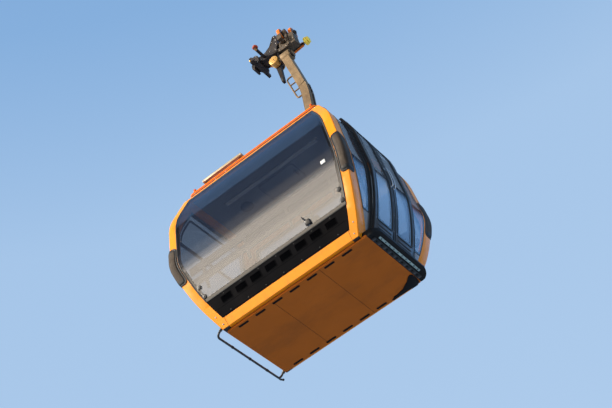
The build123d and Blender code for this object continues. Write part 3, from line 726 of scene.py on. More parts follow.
for tag, sx in (("rear", -1), ("front", 1)):
    surf = lambda a, z, n, sx=sx: on_end(sx, a, z, n)
    acr = lambda z: (-(Y(z) - 0.110), Y(z) - 0.110)
    window(tag + "_window", surf, acr, 0.352, 2.030)
    # round point fixings of the curved pane
    caps, rims = Lump(), Lump()
    for y, z in ((0.992, 0.545), (0.974, 0.420), (-0.992, 0.545), (-0.974, 0.420)):
        p, n = on_end(sx, y, z, 0.0), nrm("end", sx, z)
        rims.add(*lathe(p, n, [(0.030, -0.001), (0.030, 0.002), (0.028, 0.0042), (0.024, 0.005), (0.0, 0.005)], 36))
        caps.add(*lathe(p, n, [(0.0225, 0.003), (0.0225, 0.0085), (0.021, 0.0108), (0.017, 0.012), (0.008, 0.0122), (0.0068, 0.0122),
                               (0.0060, 0.0075), (0.0, 0.0075)], 36))
    rims.done(tag + "_fixing_washers", "seal_rubber")
    caps.done(tag + "_fixing_caps", "black_powder")
    # lower panel: fins in the eight vent slots, a raised rim round each, a stiffening bead and screws
    fins, rim, screws = Lump(), Lump(), Lump()
    for i in range(8):
        yc = -0.735 + 0.210 * i
        loop = [(yc - 0.074, 0.236), (yc + 0.074, 0.236), (yc + 0.074, 0.316), (yc - 0.074, 0.316)]
        lp = [(p.x, p.y) for p in rounded_path([(a, b, 0) for a, b in loop], 0.010, 5, closed=True)]
        rim.add(*band_loop(surf, lp, [(-0.002, -0.001), (-0.001, 0.0025), (0.002, 0.0035), (0.005, 0.0025), (0.006, -0.001)]))
        for k in range(12):
            y = yc - 0.0605 + 0.011 * k
            rows = []
            for z in (0.2395, 0.264, 0.288, 0.3125):
                rows.append([surf(y - 0.0016, z, -0.0125), surf(y - 0.0022, z, -0.001), surf(y + 0.0004, z, 0.0012), surf(y + 0.0022, z, -0.001),
                             surf(y + 0.0016, z, -0.0125)])
            v, f = grid(rows, True)
            f = f + [(0, 1, 2, 3, 4), tuple(range(15, 20))[::-1]]
            fins.add(v, f)
    for y in [-1.0 + 0.25 * k for k in range(9)]:
        for z in (0.135, 0.333):
            if abs(y) < Y(z) - 0.125:
                screws.add(*button(on_end(sx, y, z), nrm("end", sx, z), 0.0062, 0.0028))
    hw = lambda z: Y(z) - 0.128
    lp = ring_loop(lambda z: (-hw(z), hw(z)), 0.122, 0.222, 0.018)
    rim.add(*band_loop(surf, lp, [(-0.004, -0.001), (-0.002, 0.002), (0.002, 0.003), (0.006, 0.002), (0.008, -0.001)]))
    fins.done(tag + "_vent_fins", "black_band")
    rim.done(tag + "_panel_beads", "black_band")
    screws.done(tag + "_panel_screws", "black_powder")

# closed side: one wide pane with an opening vent strip along its upper part
surf_c = lambda a, z, n: on_side(1, a, z, n)
acr_c = lambda z: (-(X(z) - 0.150), X(z) - 0.150)
window("side_window", surf_c, acr_c, 0.430, 2.030)
v, f = band_loop(surf_c, ring_loop(shrunk(acr_c, 0.075), 1.545, 1.925, 0.045), [(-0.012, -0.0005), (-0.012, 0.008), (-0.009, 0.012),
                 (0.009, 0.012), (0.012, 0.008), (0.012, -0.0005)])
make("vent_sash_frame", v, f, "black_plastic", sharp=40)
lump = Lump()
for x in (-0.33, 0.33):
    lump.add(*[[(on_side(1, a, z, n)) for a, z, n in [(x - 0.035, 1.545, 0.0), (x + 0.035, 1.545, 0.0), (x + 0.035, 1.565, 0.0), (x - 0.035, 1.565, 0.0),
              (x - 0.032, 1.548, 0.020), (x + 0.032, 1.548, 0.020), (x + 0.030, 1.562, 0.022), (x - 0.030, 1.562, 0.022)]],
              [(0, 1, 2, 3), (4, 5, 6, 7), (0, 1, 5, 4), (1, 2, 6, 5), (2, 3, 7, 6), (3, 0, 4, 7)]])
lump.done("vent_sash_catches", "black_powder")
bm_rows = []
for k in range(41):
    x = -(X(1.52) - 0.150) + 0.006 + (2 * (X(1.52) - 0.150) - 0.012) * k / 40
    bm_rows.append([on_side(1, x, z, n) for z, n in [(1.499, -0.001), (1.499, 0.007), (1.503, 0.0115), (1.5225, 0.0135), (1.542, 0.0115), (1.546, 0.007),
                                                      (1.546, -0.001)]])
v, f = grid(bm_rows, True)
f = f + [tuple(range(7))[::-1], tuple(280 + k for k in range(7))]
make("vent_window_bar_cover", v, f, "black_plastic", replaces=("vent_window_bar",), sharp=40)
lump, scr = Lump(), Lump()
lp = ring_loop(lambda z: (-(X(z) - 0.165), X(z) - 0.165), 0.120, 0.405, 0.022)
lump.add(*band_loop(surf_c, lp, [(-0.004, -0.001), (-0.002, 0.002), (0.002, 0.003), (0.006, 0.002), (0.008, -0.001)]))
for x in [-0.5 + 0.125 * k for k in range(9)]:
    for z in (0.135, 0.395):
        scr.add(*button(on_side(1, x, z), nrm("side", 1, z), 0.0062, 0.0028))
lump.done("side_panel_beads", "black_plastic")
scr.done("side_panel_screws", "bolt_steel")

# door side: panes between posts and jambs
for tag, s in (("rear", -1), ("front", 1)):
    acr = lambda z, s=s: tuple(sorted((s * 0.455, s * (X(z) - 0.150))))
    surf_d = lambda a, z, n: on_side(-1, a, z, n)
    window(tag + "_door_side_window", surf_d, acr, 0.330, 1.850, frit=0.026, r_in=0.02, seal=0.010, seal_h=0.004)
    scr = Lump()
    for z in (0.10, 0.19, 0.29):
        for x in (0.475, X(z) - 0.170):
            if x > 0.475 or z:
                scr.add(*button(on_side(-1, s * x, z), nrm("side", -1, z), 0.0058, 0.0026))
    scr.done(tag + "_corner_panel_screws", "bolt_steel")

# ------------------------------------------------------------------ corner bumpers
def bumper(name, sx, sy, z0=0.682, z1=1.248, w_end=0.104, w_side=0.126, nu=44, nv=96):
    """Moulded rubber guard that wraps a corner: a flat border, a groove, then a crowned middle."""
    r0 = 0.014

    def wrap(z, s, h):
        xx, yy = X(z), Y(z)
        l1, l2 = w_end - r0, math.pi / 2 * r0
        if sy < 0:
            # lower towards the side, so that the open leaf passes over it
            h *= 1 - 0.26 * min(1.0, max(0.0, (s - l1) / l2))
        if s < l1:
            p = (xx + h, yy - w_end + s)
        elif s < l1 + l2:
            a = (s - l1) / r0
            p = (xx - r0 + (r0 + h) * math.cos(a), yy - r0 + (r0 + h) * math.sin(a))
        else:
            p = (xx - r0 - (s - l1 - l2), yy + h)
        return Vector((sx * p[0], sy * p[1] + CY, z + RZ))

    total = w_end - r0 + math.pi / 2 * r0 + w_side - r0
    zc, hz, hs = (z0 + z1) / 2, (z1 - z0) / 2, total / 2

    def rise(e):
        tab = [(0.0, 0.0), (0.0025, 0.0075), (0.006, 0.0100), (0.015, 0.0105), (0.0175, 0.0060), (0.0215, 0.0060), (0.0245, 0.0120), (0.034, 0.0165),
               (0.060, 0.0200), (0.20, 0.0215)]
        for (a, b), (c, d) in zip(tab[:-1], tab[1:]):
            if e <= c:
                q = (e - a) / (c - a)
                return b + (d - b) * (q * q * (3 - 2 * q) if c - a > 0.004 else q)
        return tab[-1][1]

    rc = 0.060
    front, back, edge_at = [], [], []
    us = [0.5 - 0.5 * math.cos(math.pi * i / nu) for i in range(nu + 1)]
    for j in range(nv + 1):
        v = -1 + 2 * (0.5 - 0.5 * math.cos(math.pi * j / nv))
        # the outline narrows towards both ends with corner radius rc
        dz = hz * (1 - abs(v))
        half_w = hs - (rc - math.sqrt(max(0.0, rc * rc - (rc - dz) ** 2)) if dz < rc else 0.0)
        half_w = max(half_w, hs - rc + 0.0005)
        fr, bk = [], []
        for u in us:
            t = (2 * u - 1) * half_w
            z = zc + hz * v
            ex, ez = half_w - abs(t), dz
            if abs(t) > hs - rc and dz < rc:
                cx, cz = abs(t) - (hs - rc), rc - dz
                e = rc - math.hypot(cx, cz)
            else:
                e = min(hs - abs(t), ez)
            e = max(e, 0.0)
            fr.append(wrap(z, hs + t, rise(e)))
            edge_at.append((fr[-1], e if dz > 0.055 else 0.0))
            bk.append(wrap(z, hs + t, -0.003))
        front.append(fr)
        back.append(bk)
    n = nu + 1
    v1, f1 = grid(front)
    v2, f2 = grid(back)
    off = len(v1)
    faces = f1 + [tuple(i + off for i in q)[::-1] for q in f2]
    edge = [k for k in range(n)] + [j * n + n - 1 for j in range(1, nv + 1)]
    edge += [nv * n + k for k in range(n - 2, -1, -1)] + [j * n for j in range(nv - 1, 0, -1)]
    m = len(edge)
    for i in range(m):
        a, b = edge[i], edge[(i + 1) % m]
        faces.append((a, b, b + off, a + off))
    o = make(name, v1 + v2, faces, "pad_rubber", sharp=60)
    # the flat border, the groove and the narrow ends are plain black rubber
    o.data.materials.append(MATS["seal_rubber"])
    tree = kdtree.KDTree(len(edge_at))
    for i, (p, e) in enumerate(edge_at):
        tree.insert(p, i)
    tree.balance()
    for q in o.data.polygons:
        if edge_at[tree.find(q.center)[1]][1] < 0.0225:
            q.material_index = 1
    return o


first = True
for tag, sx in (("rear", -1), ("front", 1)):
    for side, sy in (("door", -1), ("closed", 1)):
        o = bumper(f"{tag}_{side}_bumper", sx, sy)
        if first:
            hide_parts("bumper_pads")
            first = False

# ------------------------------------------------------------------ posts and bottom rails
bolts, shoes = Lump(), Lump()
for sx in (-1, 1):
    for sy in (-1, 1):
        for z in (0.045, 0.155, 2.075):
            bolts.add(*hexbolt(on_end(sx, sy * (Y(z) - 0.055), z), nrm("end", sx, z), 0.0065, 0.005))
        if sy > 0:
            for z in (0.05,):
                bolts.add(*hexbolt(on_side(sy, sx * (X(z) - 0.075), z), nrm("side", sy, z), 0.0065, 0.005))
        # cast shoe under each post
        x0, x1 = sorted((sx * 0.470, sx * 0.588))
        y0, y1 = sorted((sy * 0.860 + CY, sy * 0.945 + CY))
        shoes.add(*boxm(x0, x1, y0, y1, RZ - 0.006, RZ + 0.001, 0.004))
bolts.done("post_bolts", "bolt_steel")
shoes.done("post_shoes", "cast_steel")

# slim black gap and cover strip where posts meet the bottom rails
joints = Lump()
for sx in (-1, 1):
    surf = lambda a, z, n, sx=sx: on_end(sx, a, z, n)
    for sy in (-1, 1):
        a = sy * (Y(0.05) - 0.110)
        pts = [(a, 0.002), (a + sy * 0.002, 0.035), (a + sy * 0.004, 0.070), (a + sy * 0.006, 0.104)]
        joints.add(*band_loop(surf, pts, [(-0.0016, -0.001), (-0.0016, 0.0007), (0.0016, 0.0007), (0.0016, -0.001)], closed=False))
joints.done("rail_joint_lines", "joint_black_and_hole_shade", sharp=30)

# ------------------------------------------------------------------ door leaves
LEAF_OUT, PANE_OUT = 0.048, 0.038
RAIL_C = 1.903
for tag, s in (("rear", -1), ("front", 1)):
    body = tag + "_door"
    surf_l = lambda a, z, n, s=s: on_side(-1, s * a, z, n)
    acr = lambda z: (0.050, 0.345)
    # rubber glazing profile that stands between the pane and the frame
    v, f = band_loop(surf_l, ring_loop(acr, 0.300, 1.800, 0.018),
                     [(-0.004, PANE_OUT - 0.001), (-0.004, LEAF_OUT + 0.0015), (-0.001, LEAF_OUT + 0.003), (0.005, LEAF_OUT), (0.012, PANE_OUT + 0.004),
                      (0.015, PANE_OUT + 0.0005), (0.015, PANE_OUT - 0.001)])
    make(tag + "_leaf_glazing_seal", v, f, "seal_rubber", body, sharp=50)
    outer = ring_loop(shrunk(acr, 0.010), 0.310, 1.790, 0.014)
    inner = ring_loop(shrunk(acr, 0.034), 0.334, 1.766, 0.040)
    v, f = two_loops(surf_l, outer, inner, PANE_OUT - 0.0004, PANE_OUT + 0.0008)
    make(tag + "_leaf_frit", v, f, "frit_black", body, sharp=30)
    # soft lip down the leading edge, and the seal round the other three edges
    rows = []
    for k in range(49):
        z = 0.072 + (1.919 - 0.072) * k / 48
        rows.append([surf_l(a, z, n) for a, n in [(0.0062, 0.022), (0.0028, 0.0255), (0.0016, 0.034), (0.0028, 0.0435), (0.0062, 0.0475), (0.016, 0.0505),
                                                  (0.021, 0.0495), (0.021, 0.046), (0.010, 0.044), (0.010, 0.024)]])
    v, f = grid(rows, True)
    f = f + [tuple(range(10))[::-1], tuple(480 + k for k in range(10))]
    make(tag + "_leaf_lip", v, f, "seal_rubber", body, sharp=50)
    lp = ring_loop(lambda z: (0.018, 0.397), 0.078, 1.915, 0.012)
    v, f = band_loop(surf_l, lp, [(-0.004, LEAF_OUT - 0.001), (-0.0035, LEAF_OUT + 0.0022), (0.0, LEAF_OUT + 0.003), (0.004, LEAF_OUT + 0.0022),
                                  (0.0045, LEAF_OUT - 0.001)])
    make(tag + "_leaf_edge_bead", v, f, "black_powder", body, sharp=50)
    # kick panel with pressed ribs below the pane
    ribs = Lump()
    for k in range(5):
        z = 0.120 + 0.034 * k
        rows = []
        for q in range(15):
            a = 0.060 + 0.275 * q / 14
            e = min(q, 14 - q)
            hgt = 0.0035 if e > 0 else 0.0
            rows.append([surf_l(a, zz, n) for zz, n in [(z - 0.009, LEAF_OUT - 0.001), (z - 0.006, LEAF_OUT + hgt * 0.8), (z, LEAF_OUT + hgt),
                                                        (z + 0.006, LEAF_OUT + hgt * 0.8), (z + 0.009, LEAF_OUT - 0.001)]])
        v, f = grid(rows, True)
        f = f + [tuple(range(5))[::-1], tuple(70 + k2 for k2 in range(5))]
        ribs.add(v, f)
    ribs.done(tag + "_leaf_kick_ribs", "black_powder", body, sharp=50)
    # grip bar on two feet beside the leading edge
    hand = Lump()
    path = [surf_l(0.0275, z, LEAF_OUT + n) for z, n in [(0.905, 0.0), (0.905, 0.020), (0.93, 0.026), (1.0, 0.027), (1.10, 0.027), (1.17, 0.026), (1.195, 0.020),
                                                         (1.195, 0.0)]]
    hand.add(*tube(rounded_path(path, 0.015, 5), 0.0075, 14))
    for z in (0.905, 1.195):
        hand.add(*lathe(surf_l(0.0275, z, LEAF_OUT), nrm("side", -1, z), [(0.015, -0.001), (0.015, 0.003), (0.012, 0.005), (0.0, 0.005)], 24))
    hand.done(tag + "_leaf_handle", "stainless", body)
    # carrier bolts, corner screws and bottom shoes
    hw = Lump()
    for a in (0.065, 0.265):
        for da in (-0.022, 0.022):
            hw.add(*hexbolt(surf_l(a + da, 1.892, LEAF_OUT), nrm("side", -1, 1.892), 0.0075, 0.006))
    for z in [0.11 + 0.2 * k for k in range(9)]:
        for a in (0.030, 0.372):
            if not (a < 0.1 and 0.85 < z < 1.25):
                hw.add(*button(surf_l(a, z, LEAF_OUT), nrm("side", -1, z), 0.0052, 0.0024))
    hw.done(tag + "_leaf_bolts", "bolt_steel", body)
    pads = Lump()
    for a in (0.085, 0.315):
        rows = []
        for q in range(5):
            x = a - 0.035 + 0.07 * q / 4
            rows.append([surf_l(x, z, n) for z, n in [(0.0585, 0.024), (0.0585, 0.044), (0.0610, 0.0465), (0.070, 0.0475), (0.070, 0.0215), (0.0610, 0.0220)]])
        v, f = grid(rows, True)
        f = f + [tuple(range(6))[::-1], tuple(24 + k for k in range(6))]
        pads.add(v, f)
        v, f = [], []
    pads.done(tag + "_leaf_shoes", "black_plastic", body, sharp=50)
    # carrier blocks above the leaf's frame
    blk = Lump()
    for a in (0.065, 0.265):
        rows = []
        for q, (da, k) in enumerate([(-0.040, 0.4), (-0.036, 0.85), (-0.028, 1.0), (0.028, 1.0), (0.036, 0.85), (0.040, 0.4)]):
            rows.append([surf_l(a + da, z, LEAF_OUT + n) for z, n in [(1.868, -0.001), (1.870, 0.005 * k), (1.876, 0.0065 * k), (1.908, 0.0065 * k), (1.914, 0.005 * k),
                                                                       (1.916, -0.001)]])
        v, f = grid(rows, True)
        f = f + [tuple(range(6))[::-1], tuple(30 + k for k in range(6))]
        blk.add(v, f)
    blk.done(tag + "_leaf_carrier_plates", "black_powder", body, sharp=50)

# ------------------------------------------------------------------ doorway
surf_b = lambda a, z, n: on_side(-1, a, z, n)
# hollow lip seal that the leaves press against
v, f = band_loop(surf_b, ring_loop(lambda z: (-0.402, 0.402), 0.066, 1.872, 0.02),
                 [(-0.008, -0.001), (-0.009, 0.006), (-0.005, 0.0125), (0.0, 0.0145), (0.005, 0.0125), (0.009, 0.006), (0.008, -0.001)])
make("doorway_seal", v, f, "seal_rubber", sharp=50)
# header: cover strip above the rail, with screws, and rail bolts
hd, hb = Lump(), Lump()
v, f = band_loop(surf_b, ring_loop(lambda z: (-0.505, 0.505), 1.945, 2.050, 0.012),
                 [(-0.003, -0.001), (-0.002, 0.0025), (0.0, 0.0032), (0.004, 0.0022), (0.006, -0.001)])
hd.add(v, f)
for x in [-0.48 + 0.12 * k for k in range(9)]:
    hb.add(*button(surf_b(x, 1.958, 0), nrm("side", -1, 1.958), 0.0052, 0.0024))
    hb.add(*button(surf_b(x, 2.038, 0), nrm("side", -1, 2.038), 0.0052, 0.0024))
for x in [-0.64 + 0.16 * k for k in range(9)]:
    hb.add(*button(surf_b(x, RAIL_C + 0.0155, -0.001), nrm("side", -1, RAIL_C), 0.0042, 0.0022))
    hb.add(*button(surf_b(x, RAIL_C - 0.0165, -0.001), nrm("side", -1, RAIL_C), 0.0042, 0.0022))
hd.done("header_bead", "black_powder", sharp=50)
hb.done("header_screws", "bolt_steel")
# end stops and cover caps on the rail
caps = Lump()
for x in (-0.669, 0.669):
    rows = []
    for dx, k in ((-0.012, 0.5), (-0.010, 1.0), (0.010, 1.0), (0.012, 0.5)):
        rows.append([surf_b(x + dx, RAIL_C + dz, n) for dz, n in [(-0.026, -0.001), (-0.025, 0.006 * k), (-0.020, 0.009 * k), (0.020, 0.009 * k), (0.025, 0.006 * k),
                                                                  (0.026, -0.001)]])
    v, f = grid(rows, True)
    f = f + [tuple(range(6))[::-1], tuple(18 + k for k in range(6))]
    caps.add(v, f)
caps.done("rail_end_caps", "black_plastic", sharp=50)

# ------------------------------------------------------------------ step
strip = Lump()
y0s, z0s, y1s, z1s = -1.0765, -0.0282, -1.1125, -0.0134     # lies on the sloping front of the step
ny, nz = -(z1s - z0s), (y1s - y0s)
L = math.hypot(ny, nz)
ny, nz = (y1s - y0s) * 0 - (z1s - z0s) / L, (y1s - y0s) / L
if nz > 0:
    ny, nz = -ny, -nz
rows = []
for k in range(33):
    x = -0.415 + 0.80 * k / 32
    e = 0.4 if k in (0, 32) else 1.0
    rows.append([cab(x, y0s + (y1s - y0s) * q + ny * h * e, z0s + (z1s - z0s) * q + nz * h * e) for q, h in
                 [(0.16, -0.002), (0.18, 0.002), (0.24, 0.004), (0.76, 0.004), (0.82, 0.002), (0.84, -0.002)]])
v, f = grid(rows, True)
f = f + [tuple(range(6))[::-1], tuple(32 * 6 + k for k in range(6))]
strip.add(v, f)
strip.done("step_edge_strip", "strip_grey", sharp=50)
holes = Lump()
for k in range(10):
    x = -0.375 + 0.08 * k
    p = cab(x, (y0s + y1s) / 2 + ny * 0.0032, (z0s + z1s) / 2 + nz * 0.0032)
    holes.add(*lathe(p, (0, ny, nz), [(0.0085, 0.0), (0.0085, 0.0015), (0.0065, 0.0022), (0.0055, 0.0012), (0.0, 0.0012)], 18))
holes.done("step_strip_studs", "joint_black_and_hole_shade")
# ribs on the tread and an anti-slip edge
ribs = Lump()
for k in range(9):
    y = -1.120 + 0.0165 * k
    half_x = 0.40 if y < -1.09 else 0.50
    ribs.add(*boxm(-half_x, half_x, y + CY - 0.003, y + CY + 0.003, RZ + 0.0505, RZ + 0.0550, 0.0012, 1))
ribs.done("step_tread_ribs", "black_plastic", sharp=50)
# sill plate with ridges at the doorway
sill = Lump()
for k in range(7):
    y = -0.942 + 0.009 * k
    sill.add(*boxm(-0.380, 0.380, y + CY - 0.0018, y + CY + 0.0018, RZ + 0.0590, RZ + 0.0622, 0.0008, 1))
sill.done("sill_ridges", "stainless", sharp=50)
# gutter grille at the inner edge of the step: slats between its holes
slats = Lump()
for k in range(10):
    x = -0.450 + 0.1 * k
    slats.add(*boxm(x - 0.018, x + 0.018, -1.063 + CY, -1.023 + CY, RZ - 0.0385, RZ - 0.0355, 0.0012, 1))
slats.done("step_grille_slats", "black_plastic", sharp=50)

# ------------------------------------------------------------------ underside
rv, seams, inserts = Lump(), Lump(), Lump()
PX, PY0, PY1, PZ = 0.544, -1.012, 0.929, -0.030
for y in [-0.96 + 0.1175 * k for k in range(17)]:
    for x in (-0.532, 0.532):
        rv.add(*button(cab(x, y, PZ), (0, 0, -1), 0.0045, 0.0020, 12))
for x in [-0.44 + 0.11 * k for k in range(9)]:
    rv.add(*button(cab(x, 0.915, PZ), (0, 0, -1), 0.0045, 0.0020, 12))
for y in (-0.36, 0.29):
    for x in [-0.44 + 0.11 * k for k in range(9)]:
        rv.add(*button(cab(x, y + 0.022, PZ), (0, 0, -1), 0.0042, 0.0018, 12))
        rv.add(*button(cab(x, y - 0.022, PZ), (0, 0, -1), 0.0042, 0.0018, 12))
rv.done("pan_rivets", "pan_paint_shaded")
for y in (-0.36, 0.29):
    seams.add(*boxm(-0.541, 0.541, y + CY - 0.0015, y + CY + 0.0015, RZ + PZ - 0.0012, RZ + PZ + 0.002, 0.0004, 1))
seams.done("pan_seams", "joint_black_and_hole_shade", sharp=50)
# black recesses in the slots: painted shade inside the openings
for i in range(7):
    y = -0.720 + 0.240 * i
    for x in (-0.508, 0.508):
        lp = []
        for k in range(24):
            t = 2 * math.pi * k / 24
            lp.append((x + 0.012 * math.cos(t), y + (0.053 if math.sin(t) >= 0 else -0.053) + 0.012 * math.sin(t)))
        rows = []
        for rr, zz in ((1.30, PZ + 0.001), (1.30, PZ - 0.0018), (1.16, PZ - 0.0030), (0.98, PZ - 0.0018), (0.92, PZ + 0.006), (0.0, PZ + 0.010)):
            rows.append([cab(x + (a - x) * rr, y + (b - y) * (1 + (rr - 1) * 0.22), zz) if rr else cab(x, y + (0.0530 if b > y else -0.0530), zz) for a, b in lp])
        v, f = grid(rows, True)
        f = f + [tuple(range(24))]
        inserts.add(v, f)
inserts.done("pan_slot_shade_recesses", "joint_black_and_hole_shade", sharp=60)
# moulded guard at the front door-side corner of the pan
rows_o = [(0.300, -1.006), (0.440, -1.010), (0.520, -0.998), (0.541, -0.970), (0.541, -0.80), (0.541, -0.62), (0.520, -0.615), (0.505, -0.66), (0.470, -0.80), (0.405, -0.90)]
pts = rounded_path([(a, b, 0) for a, b in rows_o], 0.03, 5, closed=True)
v, f = [], []
for zz, kx in ((PZ + 0.002, 1.0), (PZ - 0.004, 1.0), (PZ - 0.007, 0.985), (PZ - 0.008, 0.95)):
    cx, cy = 0.49, -0.86
    v += [cab(cx + (p.x - cx) * kx, cy + (p.y - cy) * kx, zz) for p in pts]
n = len(pts)
for r in range(3):
    for k in range(n):
        k2 = (k + 1) % n
        f.append((r * n + k, r * n + k2, (r + 1) * n + k2, (r + 1) * n + k))
f += [tuple(range(n))[::-1], tuple(3 * n + k for k in range(n))]
make("pan_corner_guard", v, f, "step_black", sharp=50)

# ------------------------------------------------------------------ guide tube: end shoes and a short stub past the bend
gt = Lump()
for x in (-0.570, 0.590):
    p = cab(x, 0.962, 0.056)
    d = Vector((0, -0.5 if True else 0, 0.46)).normalized()
    gt.add(*lathe(p, d, [(0.0165, -0.045), (0.0195, -0.040), (0.0195, 0.006), (0.028, 0.010), (0.028, 0.014), (0.0, 0.014)], 24))
gt.add(*tube(rounded_path([cab(0.560, 1.052, -0.024), cab(0.600, 1.054, -0.026), cab(0.632, 1.040, -0.022)], 0.02, 5), 0.0115, 16))
gt.add(*lathe(cab(0.632, 1.040, -0.022), (1, -0.4, 0.1), [(0.0115, -0.002), (0.0145, 0.0), (0.0145, 0.010), (0.010, 0.014), (0.0, 0.014)], 20))
gt.done("guide_tube_ends", "black_powder")
clips = Lump()
for x in (-0.30, 0.02, 0.34):
    clips.add(*lathe(cab(x - 0.014, 1.052, -0.024), (1, 0, 0), [(0.0132, 0.0), (0.0162, 0.001), (0.0162, 0.027), (0.0132, 0.028)], 24, close=False))
clips.done("guide_tube_sleeves", "seal_rubber")

# ------------------------------------------------------------------ rounded edges on the carried-over parts
def soften(names, w, seg=2, angle=35):
    for n in names:
        o = NODES[n]
        m = o.modifiers.new("join", "WELD")
        m.merge_threshold = 0.00002
        b = o.modifiers.new("edges", "BEVEL")
        b.width = w
        b.segments = seg
        b.limit_method = "ANGLE"
        b.angle_limit = math.radians(angle)
        b.harden_normals = True


soften(["roof", "step_apron"], 0.004, 3)
soften(["roof_lugs", "suspension_frame", "hanger_arm"], 0.005, 3)
soften(["rear_door_leaf", "front_door_leaf", "door_jambs", "door_header", "bottom_rails", "door_sill"], 0.0022, 2)
soften(["grip_frame", "moving_jaw", "hanger_pin", "wheel_carrier", "lower_guide", "rear_guide_bracket", "front_guide_bracket", "spring_canister"], 0.003, 2)
soften(["floor_pan", "rear_bench", "front_bench", "rear_backrest", "front_backrest", "door_side_panels"], 0.003, 2)
soften(["corner_posts", "top_rails"], 0.0018, 2, 50)
soften(["solar_panel", "door_rail"], 0.001, 1)

# ------------------------------------------------------------------ roof
RX, RY, RB, RT = 0.582, 0.975, 2.145, 2.195
lump = Lump()
lump.add(*tube(rounded_path([cab(-RX - 0.004, -RY - 0.004, 2.1475), cab(RX + 0.004, -RY - 0.004, 2.1475), cab(RX + 0.004, RY + 0.004, 2.1475),
                             cab(-RX - 0.004, RY + 0.004, 2.1475)], 0.062, 8, closed=True), 0.0065, 10, closed=True))
lump.done("roof_gasket", "seal_rubber")
lump = Lump()
lump.add(*tube(rounded_path([cab(-RX + 0.001, -RY + 0.001, 2.1885), cab(RX - 0.001, -RY + 0.001, 2.1885), cab(RX - 0.001, RY - 0.001, 2.1885),
                             cab(-RX + 0.001, RY - 0.001, 2.1885)], 0.060, 8, closed=True), 0.0060, 10, closed=True))
lump.done("roof_drip_bead", "enamel_orange")


def roof_z(x, y):
    """Top of the roof: the lower of the two sloping skins."""
    def one(v, e, a):
        v = abs(v)
        if v <= a:
            return 2.250
        return 2.250 - 0.055 * (v - a) / (e - a)
    return min(one(x, RX, 0.400), one(y, RY, 0.700))


seams, rv = Lump(), Lump()
for y in (-0.52, -0.02, 0.48):
    rows = []
    for k in range(25):
        x = -0.545 + 1.09 * k / 24
        e = 0.15 if k in (0, 24) else 1.0
        z = roof_z(x, y)
        z -= 0.006 * math.exp(-((abs(x) - 0.400) / 0.05) ** 2)
        rows.append([cab(x, y + d, z + h * e) for d, h in [(-0.012, -0.004), (-0.010, 0.0035), (-0.004, 0.0055), (0.004, 0.0055), (0.010, 0.0035), (0.012, -0.004)]])
    v, f = grid(rows, True)
    f = f + [tuple(range(6))[::-1], tuple(24 * 6 + k for k in range(6))]
    seams.add(v, f)
seams.done("roof_seams", "enamel_roof", sharp=50)
for x in [-0.50 + 0.125 * k for k in range(9)]:
    for sy in (-1, 1):
        rv.add(*button(cab(x, sy * RY, 2.166), (0, sy, 0), 0.0055, 0.0026))
for y in [-0.88 + 0.16 * k for k in range(12)]:
    for sx in (-1, 1):
        rv.add(*button(cab(sx * RX, y, 2.166), (sx, 0, 0), 0.0055, 0.0026))
rv.done("roof_rivets", "bolt_steel")
# black discs in the lug eyes: painted shade inside the holes
rings, holes = Lump(), Lump()
for sx in (-1, 1):
    for sy in (-1, 1):
        for s in (-1, 1):
            p = cab(sx * 0.520, sy * 0.900 + s * 0.012, 2.254)
            rings.add(*lathe(p, (0, s, 0), [(0.020, -0.001), (0.020, 0.0025), (0.0175, 0.004), (0.0125, 0.004), (0.0115, 0.0015), (0.0, 0.0015)], 28))
            holes.add(*lathe(p, (0, s, 0), [(0.0113, 0.0010), (0.0110, 0.0022), (0.0, 0.0022)], 24))
        b = cab(sx * 0.520, sy * 0.900, roof_z(0.520, 0.900) - 0.001)
        for dx in (-0.045, 0.045):
            rings.add(*hexbolt((b.x + dx, b.y, b.z), (0, 0, 1), 0.007, 0.006))
rings.done("lug_rings", "enamel_roof")
holes.done("lug_holes", "joint_black_and_hole_shade")

# ------------------------------------------------------------------ solar panel
SX0, SX1, SY0, SY1, SZ0, SZ1 = -0.545, -0.245, 0.160, 0.760, 2.292, 2.317
fr = Lump()
for (x0, x1, y0, y1) in ((SX0 - 0.003, SX1 + 0.003, SY0 - 0.003, SY0 + 0.016), (SX0 - 0.003, SX1 + 0.003, SY1 - 0.016, SY1 + 0.003),
                         (SX0 - 0.003, SX0 + 0.016, SY0 + 0.015, SY1 - 0.015), (SX1 - 0.016, SX1 + 0.003, SY0 + 0.015, SY1 - 0.015)):
    fr.add(*boxm(x0, x1, y0 + CY, y1 + CY, RZ + SZ0 - 0.003, RZ + SZ1 + 0.004, 0.0015, 2))
fr.done("solar_frame", "frame_beige", sharp=50)
cells = Lump()
cells.add(*boxm(SX0 + 0.014, SX1 - 0.014, SY0 + CY + 0.014, SY1 + CY - 0.014, RZ + SZ1 - 0.001, RZ + SZ1 + 0.0018, 0.0005, 1))
cells.done("solar_cells_sheet", "solar_cells", sharp=50)
jb = Lump()
jb.add(*boxm(-0.43, -0.36, 0.40 + CY, 0.50 + CY, RZ + SZ0 - 0.020, RZ + SZ0 + 0.001, 0.005, 3))
for x in (-0.500, -0.275):
    for y in (0.200, 0.720):
        jb.add(*boxm(x - 0.020, x + 0.020, y + CY - 0.020, y + CY + 0.020, RZ + SZ0 - 0.007, RZ + SZ0 + 0.001, 0.002, 2))
        zf = roof_z(x, y)
        jb.add(*boxm(x - 0.024, x + 0.024, y + CY - 0.024, y + CY + 0.024, RZ + zf - 0.006, RZ + zf + 0.005, 0.002, 2))
jb.done("solar_junction_and_feet", "black_plastic", sharp=50)

